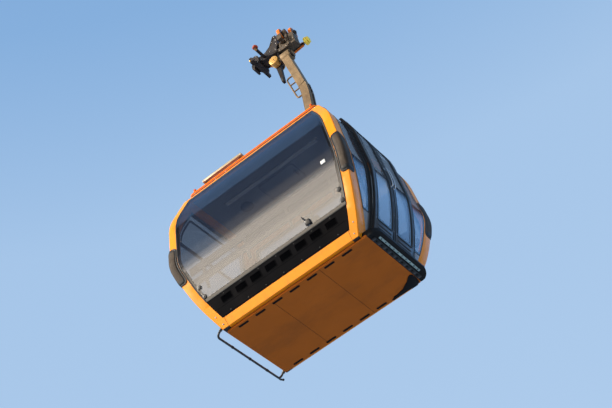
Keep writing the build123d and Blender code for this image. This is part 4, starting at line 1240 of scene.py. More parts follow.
# ------------------------------------------------------------------ suspension: rubber springs between plates
rub, plates = Lump(), Lump()
for sx in (-0.190, 0.190):
    for sy in (-0.220, 0.220):
        p = cab(sx, sy, 2.250)
        prof = [(0.030, -0.002), (0.044, 0.006), (0.0455, 0.010), (0.0455, 0.013), (0.039, 0.018), (0.0385, 0.022), (0.0455, 0.028), (0.046, 0.032), (0.0455, 0.036),
                (0.0385, 0.041), (0.039, 0.045), (0.0455, 0.050), (0.0455, 0.054), (0.040, 0.060), (0.030, 0.0605)]
        rub.add(*lathe(p, (0, 0, 1), prof, 40))
        plates.add(*lathe(p, (0, 0, 1), [(0.062, -0.004), (0.062, 0.004), (0.060, 0.0055), (0.0, 0.0055)], 40))
        for k in range(4):
            a = math.pi / 4 + k * math.pi / 2
            plates.add(*hexbolt(p + Vector((0.053 * math.cos(a), 0.053 * math.sin(a), 0.0052)), (0, 0, 1), 0.0052, 0.005))
        top = cab(sx, sy, 2.3725)
        plates.add(*lathe(top, (0, 0, 1), [(0.026, -0.001), (0.026, 0.003), (0.024, 0.004), (0.0, 0.004)], 32))
        plates.add(*hexbolt(top + Vector((0, 0, 0.0035)), (0, 0, 1), 0.013, 0.012))
        plates.add(*lathe(top + Vector((0, 0, 0.014)), (0, 0, 1), [(0.0075, 0.0), (0.0075, 0.014), (0.0060, 0.0165), (0.0, 0.0165)], 20))
o = rub.done("roof_rubber_springs", "seal_rubber")
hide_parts("roof_dampers")
plates.done("suspension_plates", "bolt_steel")

# straps, bolts and end cap of the hanger's foot
AZ0, AZ1, AX = -1.7395, -1.6315, 0.060
st = Lump()
for yc in (0.157 - 0.055, 0.157 + 0.060):
    for s in (-1, 1):
        st.add(*boxm(s * (AX + 0.0005) if s > 0 else s * (AX + 0.010), s * (AX + 0.010) if s > 0 else s * (AX + 0.0005), yc - 0.022, yc + 0.022, AZ0 - 0.002, AZ1 + 0.010,
                     0.003, 2))
        x0, x1 = sorted((s * (AX + 0.001), s * (AX + 0.046)))
        st.add(*boxm(x0, x1, yc - 0.022, yc + 0.022, AZ0 - 0.001, AZ0 + 0.011, 0.003, 2))
    st.add(*boxm(-AX - 0.010, AX + 0.010, yc - 0.022, yc + 0.022, AZ1 + 0.0005, AZ1 + 0.010, 0.003, 2))
st.done("foot_straps", "galvanised", sharp=50)
sb = Lump()
for yc in (0.157 - 0.055, 0.157 + 0.060):
    for s in (-1, 1):
        sb.add(*hexbolt((s * (AX + 0.028), yc, AZ0 + 0.0105), (0, 0, 1), 0.011, 0.010))
sb.done("foot_bolts", "bolt_steel")
cap = Lump()
cap.add(*boxm(-AX - 0.006, AX + 0.006, 0.2715, 0.2790, AZ0 + 0.001, AZ1 + 0.006, 0.003, 2))
cap.done("foot_end_plate", "galvanised", sharp=50)


def arm_line(off=0.0, n=10):
    """Points and outward normals along the hanger arm's centre line in the Y-Z plane."""
    path = [Vector((0, -0.424, -0.150)), Vector((0, -0.540, -0.940)), Vector((0, -0.472, -1.6855)), Vector((0, 0.272, -1.6855))]
    rad = [0, 0.900, 0.420, 0]
    pts = [path[0]]
    for i in (1, 2):
        a, b, c = path[i - 1], path[i], path[i + 1]
        d1, d2 = (a - b).normalized(), (c - b).normalized()
        th = d1.angle(d2)
        leg = rad[i] / math.tan(th / 2)
        cen = b + (d1 + d2).normalized() * (rad[i] / math.sin(th / 2))
        p1, p2 = b + d1 * leg - cen, b + d2 * leg - cen
        ang = p1.angle(p2)
        for k in range(n + 1):
            s = k / n
            pts.append(cen + (p1 * math.sin((1 - s) * ang) + p2 * math.sin(s * ang)) / math.sin(ang))
    pts.append(path[-1])
    out = []
    for i, p in enumerate(pts):
        a, b = pts[max(i - 1, 0)], pts[min(i + 1, len(pts) - 1)]
        d = (b - a).normalized()
        nrm_ = Vector((0, d.z, -d.y))      # towards -Y on the way down
        out.append((p + nrm_ * off, nrm_, d))
    return out


# weld seams along the four edges of the box section
wl = Lump()
H = 0.054
for sx in (-1, 1):
    for so in (-1, 1):
        pts = [q[0] + Vector((sx * (AX - 0.0015), 0, 0)) for q in arm_line(so * (H - 0.0015), 14)]
        pts = pts[1:]
        wl.add(*tube(pts, 0.0042, 8))
wl.done("hanger_weld_seams", "galvanised")
# cable duct on the outer face, with clips
duct = Lump()
ln = [q for q in arm_line(0.0, 14)]
pts = [q[0] + q[1] * (H + 0.006) + Vector((0.020, 0, 0)) for q in ln][1:-2]
duct.add(*tube(pts, 0.0085, 12))
duct.done("hanger_duct", "black_plastic")
clip = Lump()
for i in (3, 8, 13, 17, 22, 26):
    if i < len(ln) - 2:
        p, nn, d = ln[i]
        c = p + nn * (H + 0.005) + Vector((0.020, 0, 0))
        clip.add(*lathe(c - d * 0.008, d, [(0.0095, 0.0), (0.0122, 0.001), (0.0122, 0.015), (0.0095, 0.016)], 20, close=False))
clip.done("hanger_duct_clips", "bolt_steel")
# pivot head: pressed-in bush, cover with bolts, grease nipple
PZ = -0.150
hd = Lump()
hd.add(*lathe((0, -0.505, PZ), (0, -1, 0), [(0.074, -0.001), (0.074, 0.0035), (0.070, 0.0060), (0.0555, 0.0060), (0.0535, 0.0030), (0.0, 0.0030)], 48))
hd.add(*lathe((0, -0.532, PZ), (0, -1, 0), [(0.048, -0.001), (0.048, 0.0030), (0.040, 0.0075), (0.018, 0.0105), (0.0, 0.0110)], 40))
hd.done("pivot_cover", "galvanised")
hb = Lump()
for k in range(6):
    a = math.pi / 6 + k * math.pi / 3
    hb.add(*hexbolt((0.064 * math.cos(a), -0.5108, PZ + 0.064 * math.sin(a)), (0, -1, 0), 0.0050, 0.0045, washer=False))
hb.add(*lathe((0, -0.4375, PZ + 0.079), (0, 0, 1), [(0.0062, -0.001), (0.0062, 0.006), (0.0035, 0.008), (0.0035, 0.011), (0.0048, 0.013), (0.0030, 0.016),
                                                     (0.0, 0.016)], 16))
hb.done("pivot_bolts", "bolt_steel")

# ------------------------------------------------------------------ grip: running wheels
WZ = 0.232
for tag, wx, wy, out in (("rear", -0.055, -0.480, 1), ("front", 0.040, -0.599, -1)):
    body = tag + "_running_wheel"
    tyres, ribs, bolts, dark = Lump(), Lump(), Lump(), Lump()
    p = Vector((wx, wy, WZ))
    tyres.add(*lathe(p, (0, 1, 0), [(0.0635, -0.0235), (0.0760, -0.0240), (0.0815, -0.0215), (0.0842, -0.0160), (0.0850, -0.0100), (0.0838, -0.0085), (0.0838, -0.0060),
                                    (0.0850, -0.0045), (0.0850, 0.0045), (0.0838, 0.0060), (0.0838, 0.0085), (0.0850, 0.0100), (0.0842, 0.0160), (0.0815, 0.0215),
                                    (0.0760, 0.0240), (0.0635, 0.0235)], 72, close=False))
    for s in (-1, 1):
        face = p + Vector((0, s * 0.020, 0))
        ribs.add(*lathe(face, (0, s, 0), [(0.0585, -0.001), (0.0620, 0.0005), (0.0620, 0.0030), (0.0600, 0.0038), (0.0570, 0.0034), (0.0560, -0.001)], 60, close=False))
        ribs.add(*lathe(face, (0, s, 0), [(0.0420, -0.001), (0.0475, 0.0), (0.0475, 0.0025), (0.0460, 0.0040), (0.0422, 0.0036)], 48, close=False))
        for k in range(8):
            a = 2 * math.pi * k / 8
            dark.add(*lathe(face + Vector((0.0518 * math.cos(a), 0, 0.0518 * math.sin(a))), (0, s, 0), [(0.0036, -0.0005), (0.0036, 0.0008), (0.0, 0.0008)], 20))
            a = 2 * math.pi * (k + 0.5) / 8
            bolts.add(*hexbolt(face + Vector((0.0518 * math.cos(a), 0, 0.0518 * math.sin(a))), (0, s, 0), 0.0032, 0.0028, washer=False))
    o = tyres.done(tag + "_wheel_tread", "orange_pu", body)
    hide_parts(tag + "_wheel_tyre")
    ribs.done(tag + "_wheel_ribs", "machined", body)
    bolts.done(tag + "_wheel_bolts", "bolt_steel", body)
    # black discs on the wheel faces: painted shade inside its holes
    dark.done(tag + "_wheel_holes", "joint_black_and_hole_shade", body)
    ax = Lump()
    end = Vector((wx, wy + out * 0.043, WZ))
    ax.add(*lathe(end, (0, out, 0), [(0.0305, -0.001), (0.0305, 0.003), (0.027, 0.006), (0.015, 0.0085), (0.0, 0.009)], 36))
    ax.add(*hexbolt(end + Vector((0, out * 0.008, 0)), (0, out, 0), 0.0085, 0.0065))
    ax.done(tag + "_axle_cap", "cast_steel", "grip")
# ribs and bolts of the wheel carrier's web
cr = Lump()
cb = Lump()
for sx in (-1, 1):
    cr.add(*prism([(sx * 0.050, -0.040), (sx * 0.062, -0.040), (sx * 0.062, 0.022), (sx * 0.050, 0.022)], "y", -0.6415, -0.640, 0.0005, 1))
    for y in (-0.590, -0.535, -0.480, -0.425):
        x0, x1 = sorted((sx * 0.0530, sx * 0.0590))
        cr.add(*boxm(x0, x1, y - 0.004, y + 0.004, 0.021, 0.126, 0.0015, 2))
    for y in (-0.560, -0.500, -0.450, -0.400):
        cb.add(*hexbolt((sx * 0.062, y, -0.012), (sx, 0, 0), 0.0068, 0.006))
    for z in (0.045, 0.105):
        cb.add(*hexbolt((sx * 0.038, -0.640, z), (0, -1, 0), 0.0068, 0.006))
for y in (-0.628, -0.578):
    cb.add(*hexbolt((-0.066, y, 0.030), (-1, 0, 0), 0.0055, 0.005))
for y in (-0.500, -0.458):
    cb.add(*hexbolt((-0.100, y, 0.060), (0, 0, -1), 0.0055, 0.005))
cr.done("carrier_ribs", "carrier_steel", "grip")
cb.done("carrier_bolts", "bolt_steel", "grip")

# ------------------------------------------------------------------ rollers
def tread(p, axis, r, bore, half_w, hub):
    return lathe(p, axis, [(bore, -half_w), (hub, -half_w), (hub + 0.002, -half_w + 0.003), (r - 0.009, -half_w + 0.0045), (r - 0.003, -half_w + 0.008),
                           (r - 0.0006, -half_w + 0.014), (r, 0.0), (r - 0.0006, half_w - 0.014), (r - 0.003, half_w - 0.008), (r - 0.009, half_w - 0.0045),
                           (hub + 0.002, half_w - 0.003), (hub, half_w), (bore, half_w)], 56, close=False)


v, f = tread(Vector((0.128, -0.709, 0.045)), (0, 1, 0), 0.0585, 0.01215, 0.0268, 0.036)
o = make("control_roller_tread", v, f, "yellow_pa", "control_roller")
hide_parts("control_roller")
lump = Lump()
lump.add(*lathe((0.128, -0.7385, 0.045), (0, -1, 0), [(0.030, 0.0), (0.0460, 0.001), (0.0500, 0.0045), (0.0500, 0.0095), (0.0455, 0.0150), (0.030, 0.0205), (0.012, 0.0235), (0.0, 0.0240)], 48))
lump.done("control_roller_cap", "yellow_pa", "clamp_jaw")
for tag, x, z in (("rear", -0.262, 0.081), ("front", 0.300, 0.149)):
    v, f = tread(Vector((x, -0.162, z)), (0, 0, 1), 0.0385, 0.0092, 0.018, 0.022)
    o = make(tag + "_guide_roller_tread", v, f, "red_pu", tag + "_guide_roller")
    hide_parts(tag + "_guide_roller")
    c = Lump()
    c.add(*lathe((x, -0.162, z + 0.0290), (0, 0, 1), [(0.0205, -0.003), (0.0215, 0.0), (0.0205, 0.004), (0.012, 0.0075), (0.0, 0.008)], 28))
    c.add(*lathe((x, -0.162, z - 0.0440), (0, 0, -1), [(0.016, -0.002), (0.016, 0.003), (0.013, 0.006), (0.0, 0.0065)], 24))
    c.done(tag + "_guide_roller_caps", "zinc_yellow", "grip")

# ------------------------------------------------------------------ spring canister
CYN, CZN = -0.268, -0.125
caps, bands = Lump(), Lump()
caps.add(*lathe((0.010, CYN, CZN), (-1, 0, 0), [(0.055, 0.0), (0.0645, 0.0005), (0.0665, 0.003), (0.0665, 0.020), (0.0645, 0.0215), (0.0645, 0.0245), (0.0665, 0.026),
                                                 (0.0665, 0.088), (0.0640, 0.0925), (0.0540, 0.0960), (0.030, 0.0985), (0.018, 0.0990), (0.0165, 0.1040), (0.0, 0.1040)], 56))
caps.add(*lathe((0.092, CYN, CZN), (1, 0, 0), [(0.055, 0.0), (0.0615, 0.0005), (0.0630, 0.003), (0.0630, 0.010), (0.0600, 0.0140), (0.030, 0.0170), (0.0, 0.0170)], 56))
o = caps.done("spring_end_caps", "zinc_yellow", "grip")
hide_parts("spring_caps")
for x in (0.022, 0.052, 0.086):
    bands.add(*lathe((x - 0.004, CYN, CZN), (1, 0, 0), [(0.0545, 0.0), (0.0575, 0.0006), (0.0575, 0.0074), (0.0545, 0.008)], 56, close=False))
bands.done("spring_canister_bands", "cast_steel", "grip")
lump = Lump()
for k in range(6):
    a = 2 * math.pi * k / 6
    lump.add(*hexbolt((-0.0865, CYN + 0.044 * math.cos(a), CZN + 0.044 * math.sin(a)), (-1, 0, 0), 0.0055, 0.005, washer=False))
lump.done("spring_cap_bolts", "bolt_steel", "grip")

# ------------------------------------------------------------------ frame, jaws and lever
bolts = Lump()
for sx in (-1, 1):
    n = (sx, 0, 0)
    for y, z in ((-0.380, 0.278), (-0.380, 0.205), (-0.380, 0.135), (-0.318, 0.222), (-0.345, 0.045), (-0.262, 0.072), (-0.105, 0.078), (-0.105, 0.044)):
        bolts.add(*hexbolt((sx * 0.070, y, z), n, 0.0080, 0.0075))
    for y, z in ((-0.068, 0.112), (-0.062, 0.0)):
        bolts.add(*hexbolt((sx * 0.110, y, z), n, 0.0085, 0.008))
for x in (-0.160, 0.160):
    for z in (0.006, 0.030):
        bolts.add(*hexbolt((x, -0.0505, z), (0, -1, 0), 0.0050, 0.005))
bolts.done("grip_bolts", "bolt_steel", "grip")
# ribs cast on the beam's flanks
ribs = Lump()
for sx in (-1, 1):
    for (ya, za, yb, zb) in ((-0.355, 0.005, -0.110, 0.104), (-0.368, 0.286, -0.290, 0.170)):
        a, b = Vector((sx * 0.0705, ya, za)), Vector((sx * 0.0705, yb, zb))
        ribs.add(*tube([a, a.lerp(b, 0.5), b], 0.0055, 10))
ribs.done("grip_cast_ribs", "cast_steel", "grip")
# end cap of the jaw's hinge pin
c = Lump()
c.add(*lathe((-0.130, 0.012, 0.098), (-1, 0, 0), [(0.0270, -0.001), (0.0270, 0.004), (0.022, 0.009), (0.008, 0.0115), (0.0, 0.012)], 32))
c.done("hinge_pin_cap", "zinc_yellow", "clamp_jaw")
# lever: flanges along its edges and bosses on its sides
fl = Lump()
top = [(-0.440, 0.044), (-0.520, 0.0475), (-0.600, 0.0535), (-0.664, 0.0580)]
for edge, dz in ((((-0.080, 0.1095), (-0.160, 0.0955), (-0.300, 0.0700), (-0.430, 0.0470), (-0.480, 0.0455), (-0.560, 0.0505), (-0.655, 0.0570)), 0.002),
                 (((-0.120, 0.0600), (-0.240, 0.0365), (-0.430, -0.0030), (-0.480, -0.0045), (-0.560, 0.0020), (-0.655, 0.0105)), -0.002)):
    rows = []
    for y, z in edge:
        rows.append([Vector((x, y, z + dz + h)) for x, h in ((0.112, -0.004), (0.112, 0.003), (0.1145, 0.0045), (0.1415, 0.0045), (0.144, 0.003), (0.144, -0.004))])
    v, f = grid(rows, True)
    n = len(rows)
    f = f + [tuple(range(6))[::-1], tuple((n - 1) * 6 + k for k in range(6))]
    fl.add(v, f)
# the flanges carry the tyres' orange: partly paint on the lever's edges, partly a painted highlight for its sunlit top
# edge
fl.done("lever_flanges", "orange_pu", "clamp_jaw", sharp=40)
lv = Lump()
for y, z in ((-0.20, 0.069), (-0.32, 0.042), (-0.56, 0.026)):
    for s in (-1, 1):
        lv.add(*lathe((0.128 + s * 0.010, y, z), (s, 0, 0), [(0.013, -0.001), (0.013, 0.0015), (0.0115, 0.0025), (0.0, 0.0025)], 24))
lv.done("lever_bosses", "cast_steel", "clamp_jaw")
# wear pads on both sides of the lower guide
wp = Lump()
for x0, x1 in ((0.0085, 0.0125), (0.0555, 0.0595)):
    wp.add(*boxm(x0, x1, -0.283, -0.253, -0.472, -0.400, 0.0018, 2))
wp.done("lower_guide_pads", "seal_rubber", "grip", sharp=50)

# ------------------------------------------------------------------ seat cushions
CU_X0, CU_X1, CU_W = 0.305, 0.690, 0.206
CU_Z0, CU_Z1 = 0.425, 0.480


def round_rect(hx, hy, r, n=6):
    pts = [(hx, -hy), (hx, hy), (-hx, hy), (-hx, -hy)]
    return [(p.x, p.y) for p in rounded_path([(a, b, 0) for a, b in pts], r, n, closed=True)]


def raw_cushion():
    """Closed form about its own centre, flat below, a little smaller than the space it fills."""
    hx, hy = (CU_X1 - CU_X0) / 2, CU_W
    rows = []
    for inset, z in ((0.016, 0.0), (0.010, 0.0015), (0.007, 0.010), (0.006, 0.026), (0.008, 0.036), (0.016, 0.0415), (0.040, 0.0440), (0.090, 0.0465), (0.150, 0.0480)):
        rows.append([Vector((a, b, z)) for a, b in round_rect(hx - inset, hy - inset, max(0.040 - inset, 0.020), 6)])
    v, f = grid(rows, True)
    n = len(rows[0])
    f = f + [tuple(range(n))[::-1], tuple((len(rows) - 1) * n + k for k in range(n))]
    return v, f


def cushion_form():
    """The swollen cushion, as vertex and face lists about its own centre."""
    v, f = raw_cushion()
    me = bpy.data.meshes.new("tmp_cushion")
    me.from_pydata([tuple(p) for p in v], [], f)
    bm = bmesh.new()
    bm.from_mesh(me)
    bmesh.ops.recalc_face_normals(bm, faces=bm.faces)
    bm.to_mesh(me)
    bm.free()
    o = bpy.data.objects.new("tmp_cushion", me)
    COLL.objects.link(o)
    rm = o.modifiers.new("remesh", "REMESH")
    rm.mode = "VOXEL"
    rm.voxel_size = 0.0075
    dg = bpy.context.evaluated_depsgraph_get()
    base = bpy.data.meshes.new_from_object(o.evaluated_get(dg))
    o.modifiers.clear()
    o.data = base
    rest = [p.co.copy() for p in base.vertices]
    pin = o.vertex_groups.new(name="pin")
    pin.add([i for i, p in enumerate(rest) if p.z < 0.006], 1.0, "REPLACE")
    cl = o.modifiers.new("cloth", "CLOTH")
    st = cl.settings
    st.quality = 5
    st.mass = 0.3
    st.tension_stiffness = 15
    st.compression_stiffness = 15
    st.shear_stiffness = 5
    st.bending_stiffness = 0.6
    st.use_pressure = True
    st.uniform_pressure_force = 4.0
    st.vertex_group_mass = "pin"
    st.effector_weights.gravity = 0.0
    cl.point_cache.frame_start = 1
    cl.point_cache.frame_end = 20
    sc = bpy.context.scene
    for fr in range(1, 21):
        sc.frame_set(fr)
    dg = bpy.context.evaluated_depsgraph_get()
    done = bpy.data.meshes.new_from_object(o.evaluated_get(dg))
    moved = [p.co.copy() for p in done.vertices]
    sc.frame_set(1)
    hx, hy = (CU_X1 - CU_X0) / 2, CU_W
    out = []
    for a, b in zip(rest, moved):
        d = b - a
        if d.length > 0.012:
            d = d.normalized() * 0.012
        p = a + d
        # sides pull in between the corners, the top stays under its height
        p.x = max(-hx + 0.002, min(hx - 0.002, p.x))
        p.y = max(-hy + 0.002, min(hy - 0.002, p.y))
        p.z = max(0.0005, min(CU_Z1 - CU_Z0 + 0.004, p.z))
        side = max(0.0, 1 - abs(p.z - 0.022) / 0.03)
        p.x *= 1 - 0.018 * side * max(0.0, 1 - (p.y / hy) ** 2)
        p.y *= 1 - 0.016 * side * max(0.0, 1 - (p.x / hx) ** 2)
        if p.z > 0.030:
            for c in CHANNELS:
                p.z -= 0.0050 * math.exp(-((p.x - c) / 0.0065) ** 2) * max(0.0, 1 - (abs(p.y) / (hy - 0.030)) ** 8)
        out.append(p)
    faces = [tuple(q.vertices) for q in base.polygons]
    bpy.data.objects.remove(o)
    return out, faces


CHANNELS = (-0.070, 0.045)
FORM = cushion_form()


def top_at(x, y):
    best = None
    for p in FORM[0]:
        if p.z > 0.020:
            d = (p.x - x) ** 2 + (p.y - y) ** 2
            if best is None or d < best[0]:
                best = (d, p.z)
    return best[1]


hx, hy = (CU_X1 - CU_X0) / 2, CU_W
RIM = [(a, b) for a, b in round_rect(hx - 0.013, hy - 0.013, 0.030, 6)]
CORD = []
for i, (a, b) in enumerate(RIM):
    a2, b2 = RIM[(i + 1) % len(RIM)]
    steps = max(1, int(math.hypot(a2 - a, b2 - b) / 0.020))
    for k in range(steps):
        CORD.append((a + (a2 - a) * k / steps, b + (b2 - b) * k / steps))
CORD_TOP = [Vector((a, b, top_at(a, b) + 0.0008)) for a, b in CORD]
STITCH = []
for c in CHANNELS:
    y = -hy + 0.045
    while y < hy - 0.045:
        STITCH.append((Vector((c, y, top_at(c, y) + 0.0006)), Vector((c, y + 0.0065, top_at(c, y + 0.0065) + 0.0006))))
        y += 0.0105
for tag, sx in (("rear", -1), ("front", 1)):
    pad, cord, thread = Lump(), Lump(), Lump()
    for i in range(5):
        at = cab(sx * (CU_X0 + CU_X1) / 2, (i - 2) * 0.428, CU_Z0 + 0.0008)

        def put(p):
            return at + Vector((p.x * -sx, p.y, p.z))
        pad.add([put(p) for p in FORM[0]], FORM[1])
        cord.add(*tube([put(p) for p in CORD_TOP], 0.0030, 8, closed=True))
        for a, b in STITCH:
            thread.add(*tube([put(a), put((a + b) / 2 + Vector((0, 0, 0.0007))), put(b)], 0.0008, 5))
    o = pad.done(tag + "_seat_pads", "seat_vinyl", sharp=70)
    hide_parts(tag + "_seat_cushions")
    cord.done(tag + "_seat_piping", "seal_rubber")
    thread.done(tag + "_seat_stitching", "grey_panel")

# ------------------------------------------------------------------ bench and backrest trim
soften(["rear_backrest", "front_backrest"], 0.006, 2, 40)
trim, screws, slots = Lump(), Lump(), Lump()
for sx in (-1, 1):
    x0, x1 = sorted((sx * 0.2965, sx * 0.3035))
    trim.add(*turned(boxm(x0, x1, CY - 1.055, CY + 1.055, RZ + 0.3835, RZ + 0.4265, 0.0030, 2), 0, (0, 0, 0)))
    x0, x1 = sorted((sx * 0.2975, sx * 0.3005))
    trim.add(*boxm(x0, x1, CY - 0.895, CY + 0.895, RZ + 0.064, RZ + 0.120, 0.0014, 2))
    for uy in (-0.900, -0.300, 0.300, 0.900):
        for z in (0.665, 0.715, 0.845, 0.895):
            screws.add(*button(cab(sx * 0.738, uy, z), (-sx, 0, 0), 0.007, 0.004))
    for k in range(-8, 9):
        screws.add(*button(cab(sx * 0.2965, k * 0.125, 0.405), (-sx, 0, 0), 0.0045, 0.0022))
    # thin black sheets on the bench fronts: painted shade inside the vent slots
    for k in range(-3, 4):
        for j in range(7):
            y = k * 0.250 + (j - 3) * 0.022
            x0, x1 = sorted((sx * 0.2992, sx * 0.3002))
            slots.add(*boxm(x0, x1, CY + y - 0.0045, CY + y + 0.0045, RZ + 0.185, RZ + 0.300, 0.0, 1))
trim.done("bench_edge_trim", "stainless", sharp=50)
screws.done("bench_screws", "bolt_steel")
slots.done("bench_vent_slots", "joint_black_and_hole_shade", sharp=50)

# ------------------------------------------------------------------ floor mat
studs = Lump()
nx, ny = 8, 25
for i in range(-nx, nx + 1):
    for j in range(-ny, ny + 1):
        x, y = i * 0.034, j * 0.034
        if abs(abs(x) - 0.270) < 0.044 and abs(y + 0.860) < 0.044:
            continue
        studs.add(*lathe(cab(x, y, 0.060), (0, 0, 1), [(0.0105, -0.0002), (0.0098, 0.0016), (0.0080, 0.0024), (0.0, 0.0026)], 8))
studs.done("floor_studs", "floor_rubber")
rim = Lump()
for sx in (-1, 1):
    x0, x1 = sorted((sx * 0.2905, sx * 0.2960))
    rim.add(*boxm(x0, x1, CY - 0.895, CY + 0.895, RZ + 0.0595, RZ + 0.0640, 0.0015, 2))
rim.done("floor_mat_edges", "stainless", sharp=50)

# ------------------------------------------------------------------ poles, ceiling
fl, sc_ = Lump(), Lump()
for sx in (-1, 1):
    for z, d in ((0.0600, 1), (2.0700, -1)):
        p = cab(sx * 0.270, -0.860, z)
        fl.add(*lathe(p, (0, 0, d), [(0.0380, -0.0003), (0.0380, 0.0050), (0.0350, 0.0075), (0.0225, 0.0085), (0.0215, 0.0230), (0.0190, 0.0260), (0.0158, 0.0262)], 32))
        for k in range(3):
            a = 2 * math.pi * k / 3 + 0.5
            sc_.add(*button(p + Vector((0.0300 * math.cos(a), 0.0300 * math.sin(a), d * 0.0072)), (0, 0, d), 0.0042, 0.0026))
    # two collars where the pole is clamped
    for z in (0.95, 1.45):
        fl.add(*lathe(cab(sx * 0.270, -0.860, z), (0, 0, 1), [(0.0158, 0.0), (0.0205, 0.0010), (0.0205, 0.0190), (0.0158, 0.0200)], 28, close=False))
fl.done("pole_flanges", "stainless")
sc_.done("pole_screws", "bolt_steel")
lamp, body, grille = Lump(), Lump(), Lump()
for sx in (-1, 1):
    x0, x1 = sorted((sx * 0.205, sx * 0.255))
    lamp.add(*boxm(x0, x1, CY - 0.700, CY + 0.700, RZ + 2.0520, RZ + 2.0660, 0.006, 3))
    x0, x1 = sorted((sx * 0.195, sx * 0.265))
    body.add(*boxm(x0, x1, CY - 0.712, CY + 0.712, RZ + 2.0610, RZ + 2.0705, 0.003, 2))
lamp.done("ceiling_lamps", "lamp_white", sharp=50)
body.done("lamp_housings", "grey_panel", sharp=50)
grille.add(*lathe(cab(0, 0.55, 2.0700), (0, 0, -1), [(0.0850, -0.0003), (0.0850, 0.0040), (0.0800, 0.0075), (0.0750, 0.0080), (0.0, 0.0080)], 40))
for r in (0.020, 0.035, 0.050, 0.065):
    grille.add(*lathe(cab(0, 0.55, 2.0700 - 0.0080), (0, 0, -1), [(r - 0.0025, -0.0003), (r - 0.0020, 0.0018), (r + 0.0020, 0.0018), (r + 0.0025, -0.0003)], 40, close=False))
grille.done("ceiling_speaker", "black_plastic")
hatch = Lump()
loop = [Vector(cab(a, b, 2.0695)) for a, b in round_rect(0.155, 0.260, 0.040, 6)]
hatch.add(*tube(loop, 0.0050, 8, closed=True))
hatch.done("ceiling_hatch_bead", "seal_rubber")
hl = Lump()
hl.add(*boxm(-0.045, 0.045, CY - 0.235, CY - 0.205, RZ + 2.0500, RZ + 2.0705, 0.005, 2))
hl.done("hatch_handle", "black_plastic", sharp=50)


def facebox(kind, s, a0, a1, z0, z1, n0, n1, r=0.003):
    """Rounded box laid on the inside of a body face: across, height and depth ranges."""
    v, f = boxm(a0, a1, z0, z1, n0, n1, r, 2)
    put = on_end if kind == "end" else on_side
    return [put(s, p.x, p.y, p.z) for p in v], f


# latch and lever of the vent sash, and a bare pale plate beside the door-side post
lat = Lump()
for s in (-1, 1):
    y0 = -0.560 * (1 if s < 0 else -1)
    lat.add(*facebox("end", s, y0 - 0.060, y0 + 0.060, 0.430, 0.485, -0.105, -0.050, 0.008))
    lat.add(*tube(rounded_path([on_end(s, y0 + 0.020, 0.470, -0.080), on_end(s, y0 + 0.012, 0.520, -0.092), on_end(s, y0 - 0.010, 0.575, -0.086)], 0.02, 5), 0.0105, 12))
lat.done("vent_latches", "black_plastic", sharp=50)
pl = Lump()
pl.add(*facebox("end", -1, -0.990, -0.930, 0.925, 0.972, 0.0004, 0.0042, 0.0015))
pl.done("pale_plate", "lamp_white", sharp=50)
lk = Lump()
for s in (-1, 1):
    y0 = -0.510
    lk.add(*facebox("end", s, y0 - 0.034, y0 + 0.034, 0.405, 0.462, 0.001, 0.030, 0.006))
    lk.add(*tube([on_end(s, y0 + 0.018, 0.452, 0.022), on_end(s, y0 + 0.030, 0.490, 0.026), on_end(s, y0 + 0.038, 0.520, 0.026)], 0.006, 10))
lk.done("end_lock_boxes", "black_plastic", sharp=50)

# ------------------------------------------------------------------ floor, light and camera
FLOOR_Z = -14.47


def stage_floor():
    m = bpy.data.materials.new("studio_floor")
    m.use_nodes = True
    t, b = nt(m)
    n = noise(t, 0.35, 3.0)
    r = ramp(t, n, "Fac", [(0.3, (0.80, 0.765, 0.71)), (0.7, (0.85, 0.815, 0.76))])
    link(t, r, "Color", b, "Base Color")
    b.inputs["Roughness"].default_value = 0.85
    me = bpy.data.meshes.new("floor")
    s = 480.0
    me.from_pydata([(-s, -s, FLOOR_Z), (s, -s, FLOOR_Z), (s, s, FLOOR_Z), (-s, s, FLOOR_Z)], [], [(0, 1, 2, 3)])
    me.materials.append(m)
    o = bpy.data.objects.new("floor", me)
    COLL.objects.link(o)


def world_light():
    w = bpy.data.worlds.new("studio")
    bpy.context.scene.world = w
    w.use_nodes = True
    t = w.node_tree
    bg = t.nodes["Background"]
    tc = t.nodes.new("ShaderNodeTexCoord")
    sx = t.nodes.new("ShaderNodeSeparateXYZ")
    t.links.new(tc.outputs["Generated"], sx.inputs[0])
    r = t.nodes.new("ShaderNodeValToRGB")
    stops = [(0.0, (0.64, 0.69, 0.76)), (0.06, (0.74, 0.79, 0.86)), (0.35, (0.47, 0.64, 0.86)), (0.70, (0.38, 0.56, 0.81)),
             (0.80, (0.24, 0.43, 0.72)), (1.0, (0.14, 0.31, 0.62))]
    els = r.color_ramp.elements
    while len(els) < len(stops):
        els.new(0.5)
    for e, (p, c) in zip(els, stops):
        e.position = p
        e.color = (*c, 1)
    t.links.new(sx.outputs["Z"], r.inputs["Fac"])
    t.links.new(r.outputs["Color"], bg.inputs["Color"])
    bg.inputs["Strength"].default_value = 1.0


def aim(o, at):
    d = Vector(at) - o.location
    o.rotation_euler = d.to_track_quat("-Z", "Y").to_euler()


def key_light():
    """Warm key from the rear end and the closed side, a cone that is only as wide as the object needs."""
    L = bpy.data.lights.new("key", "SPOT")
    d = Vector((-0.62, 0.63, 0.46)).normalized()
    at = Vector((0, 0.0, -2.2))
    dist = 42.0
    L.energy = 6.6 * 4 * math.pi * dist * dist
    L.color = (1.0, 0.92, 0.80)
    L.spot_size = math.radians(15)
    L.spot_blend = 0.5
    L.shadow_soft_size = 2.2
    o = bpy.data.objects.new("key", L)
    COLL.objects.link(o)
    o.location = at + d * dist
    aim(o, at)
    o.visible_camera = False


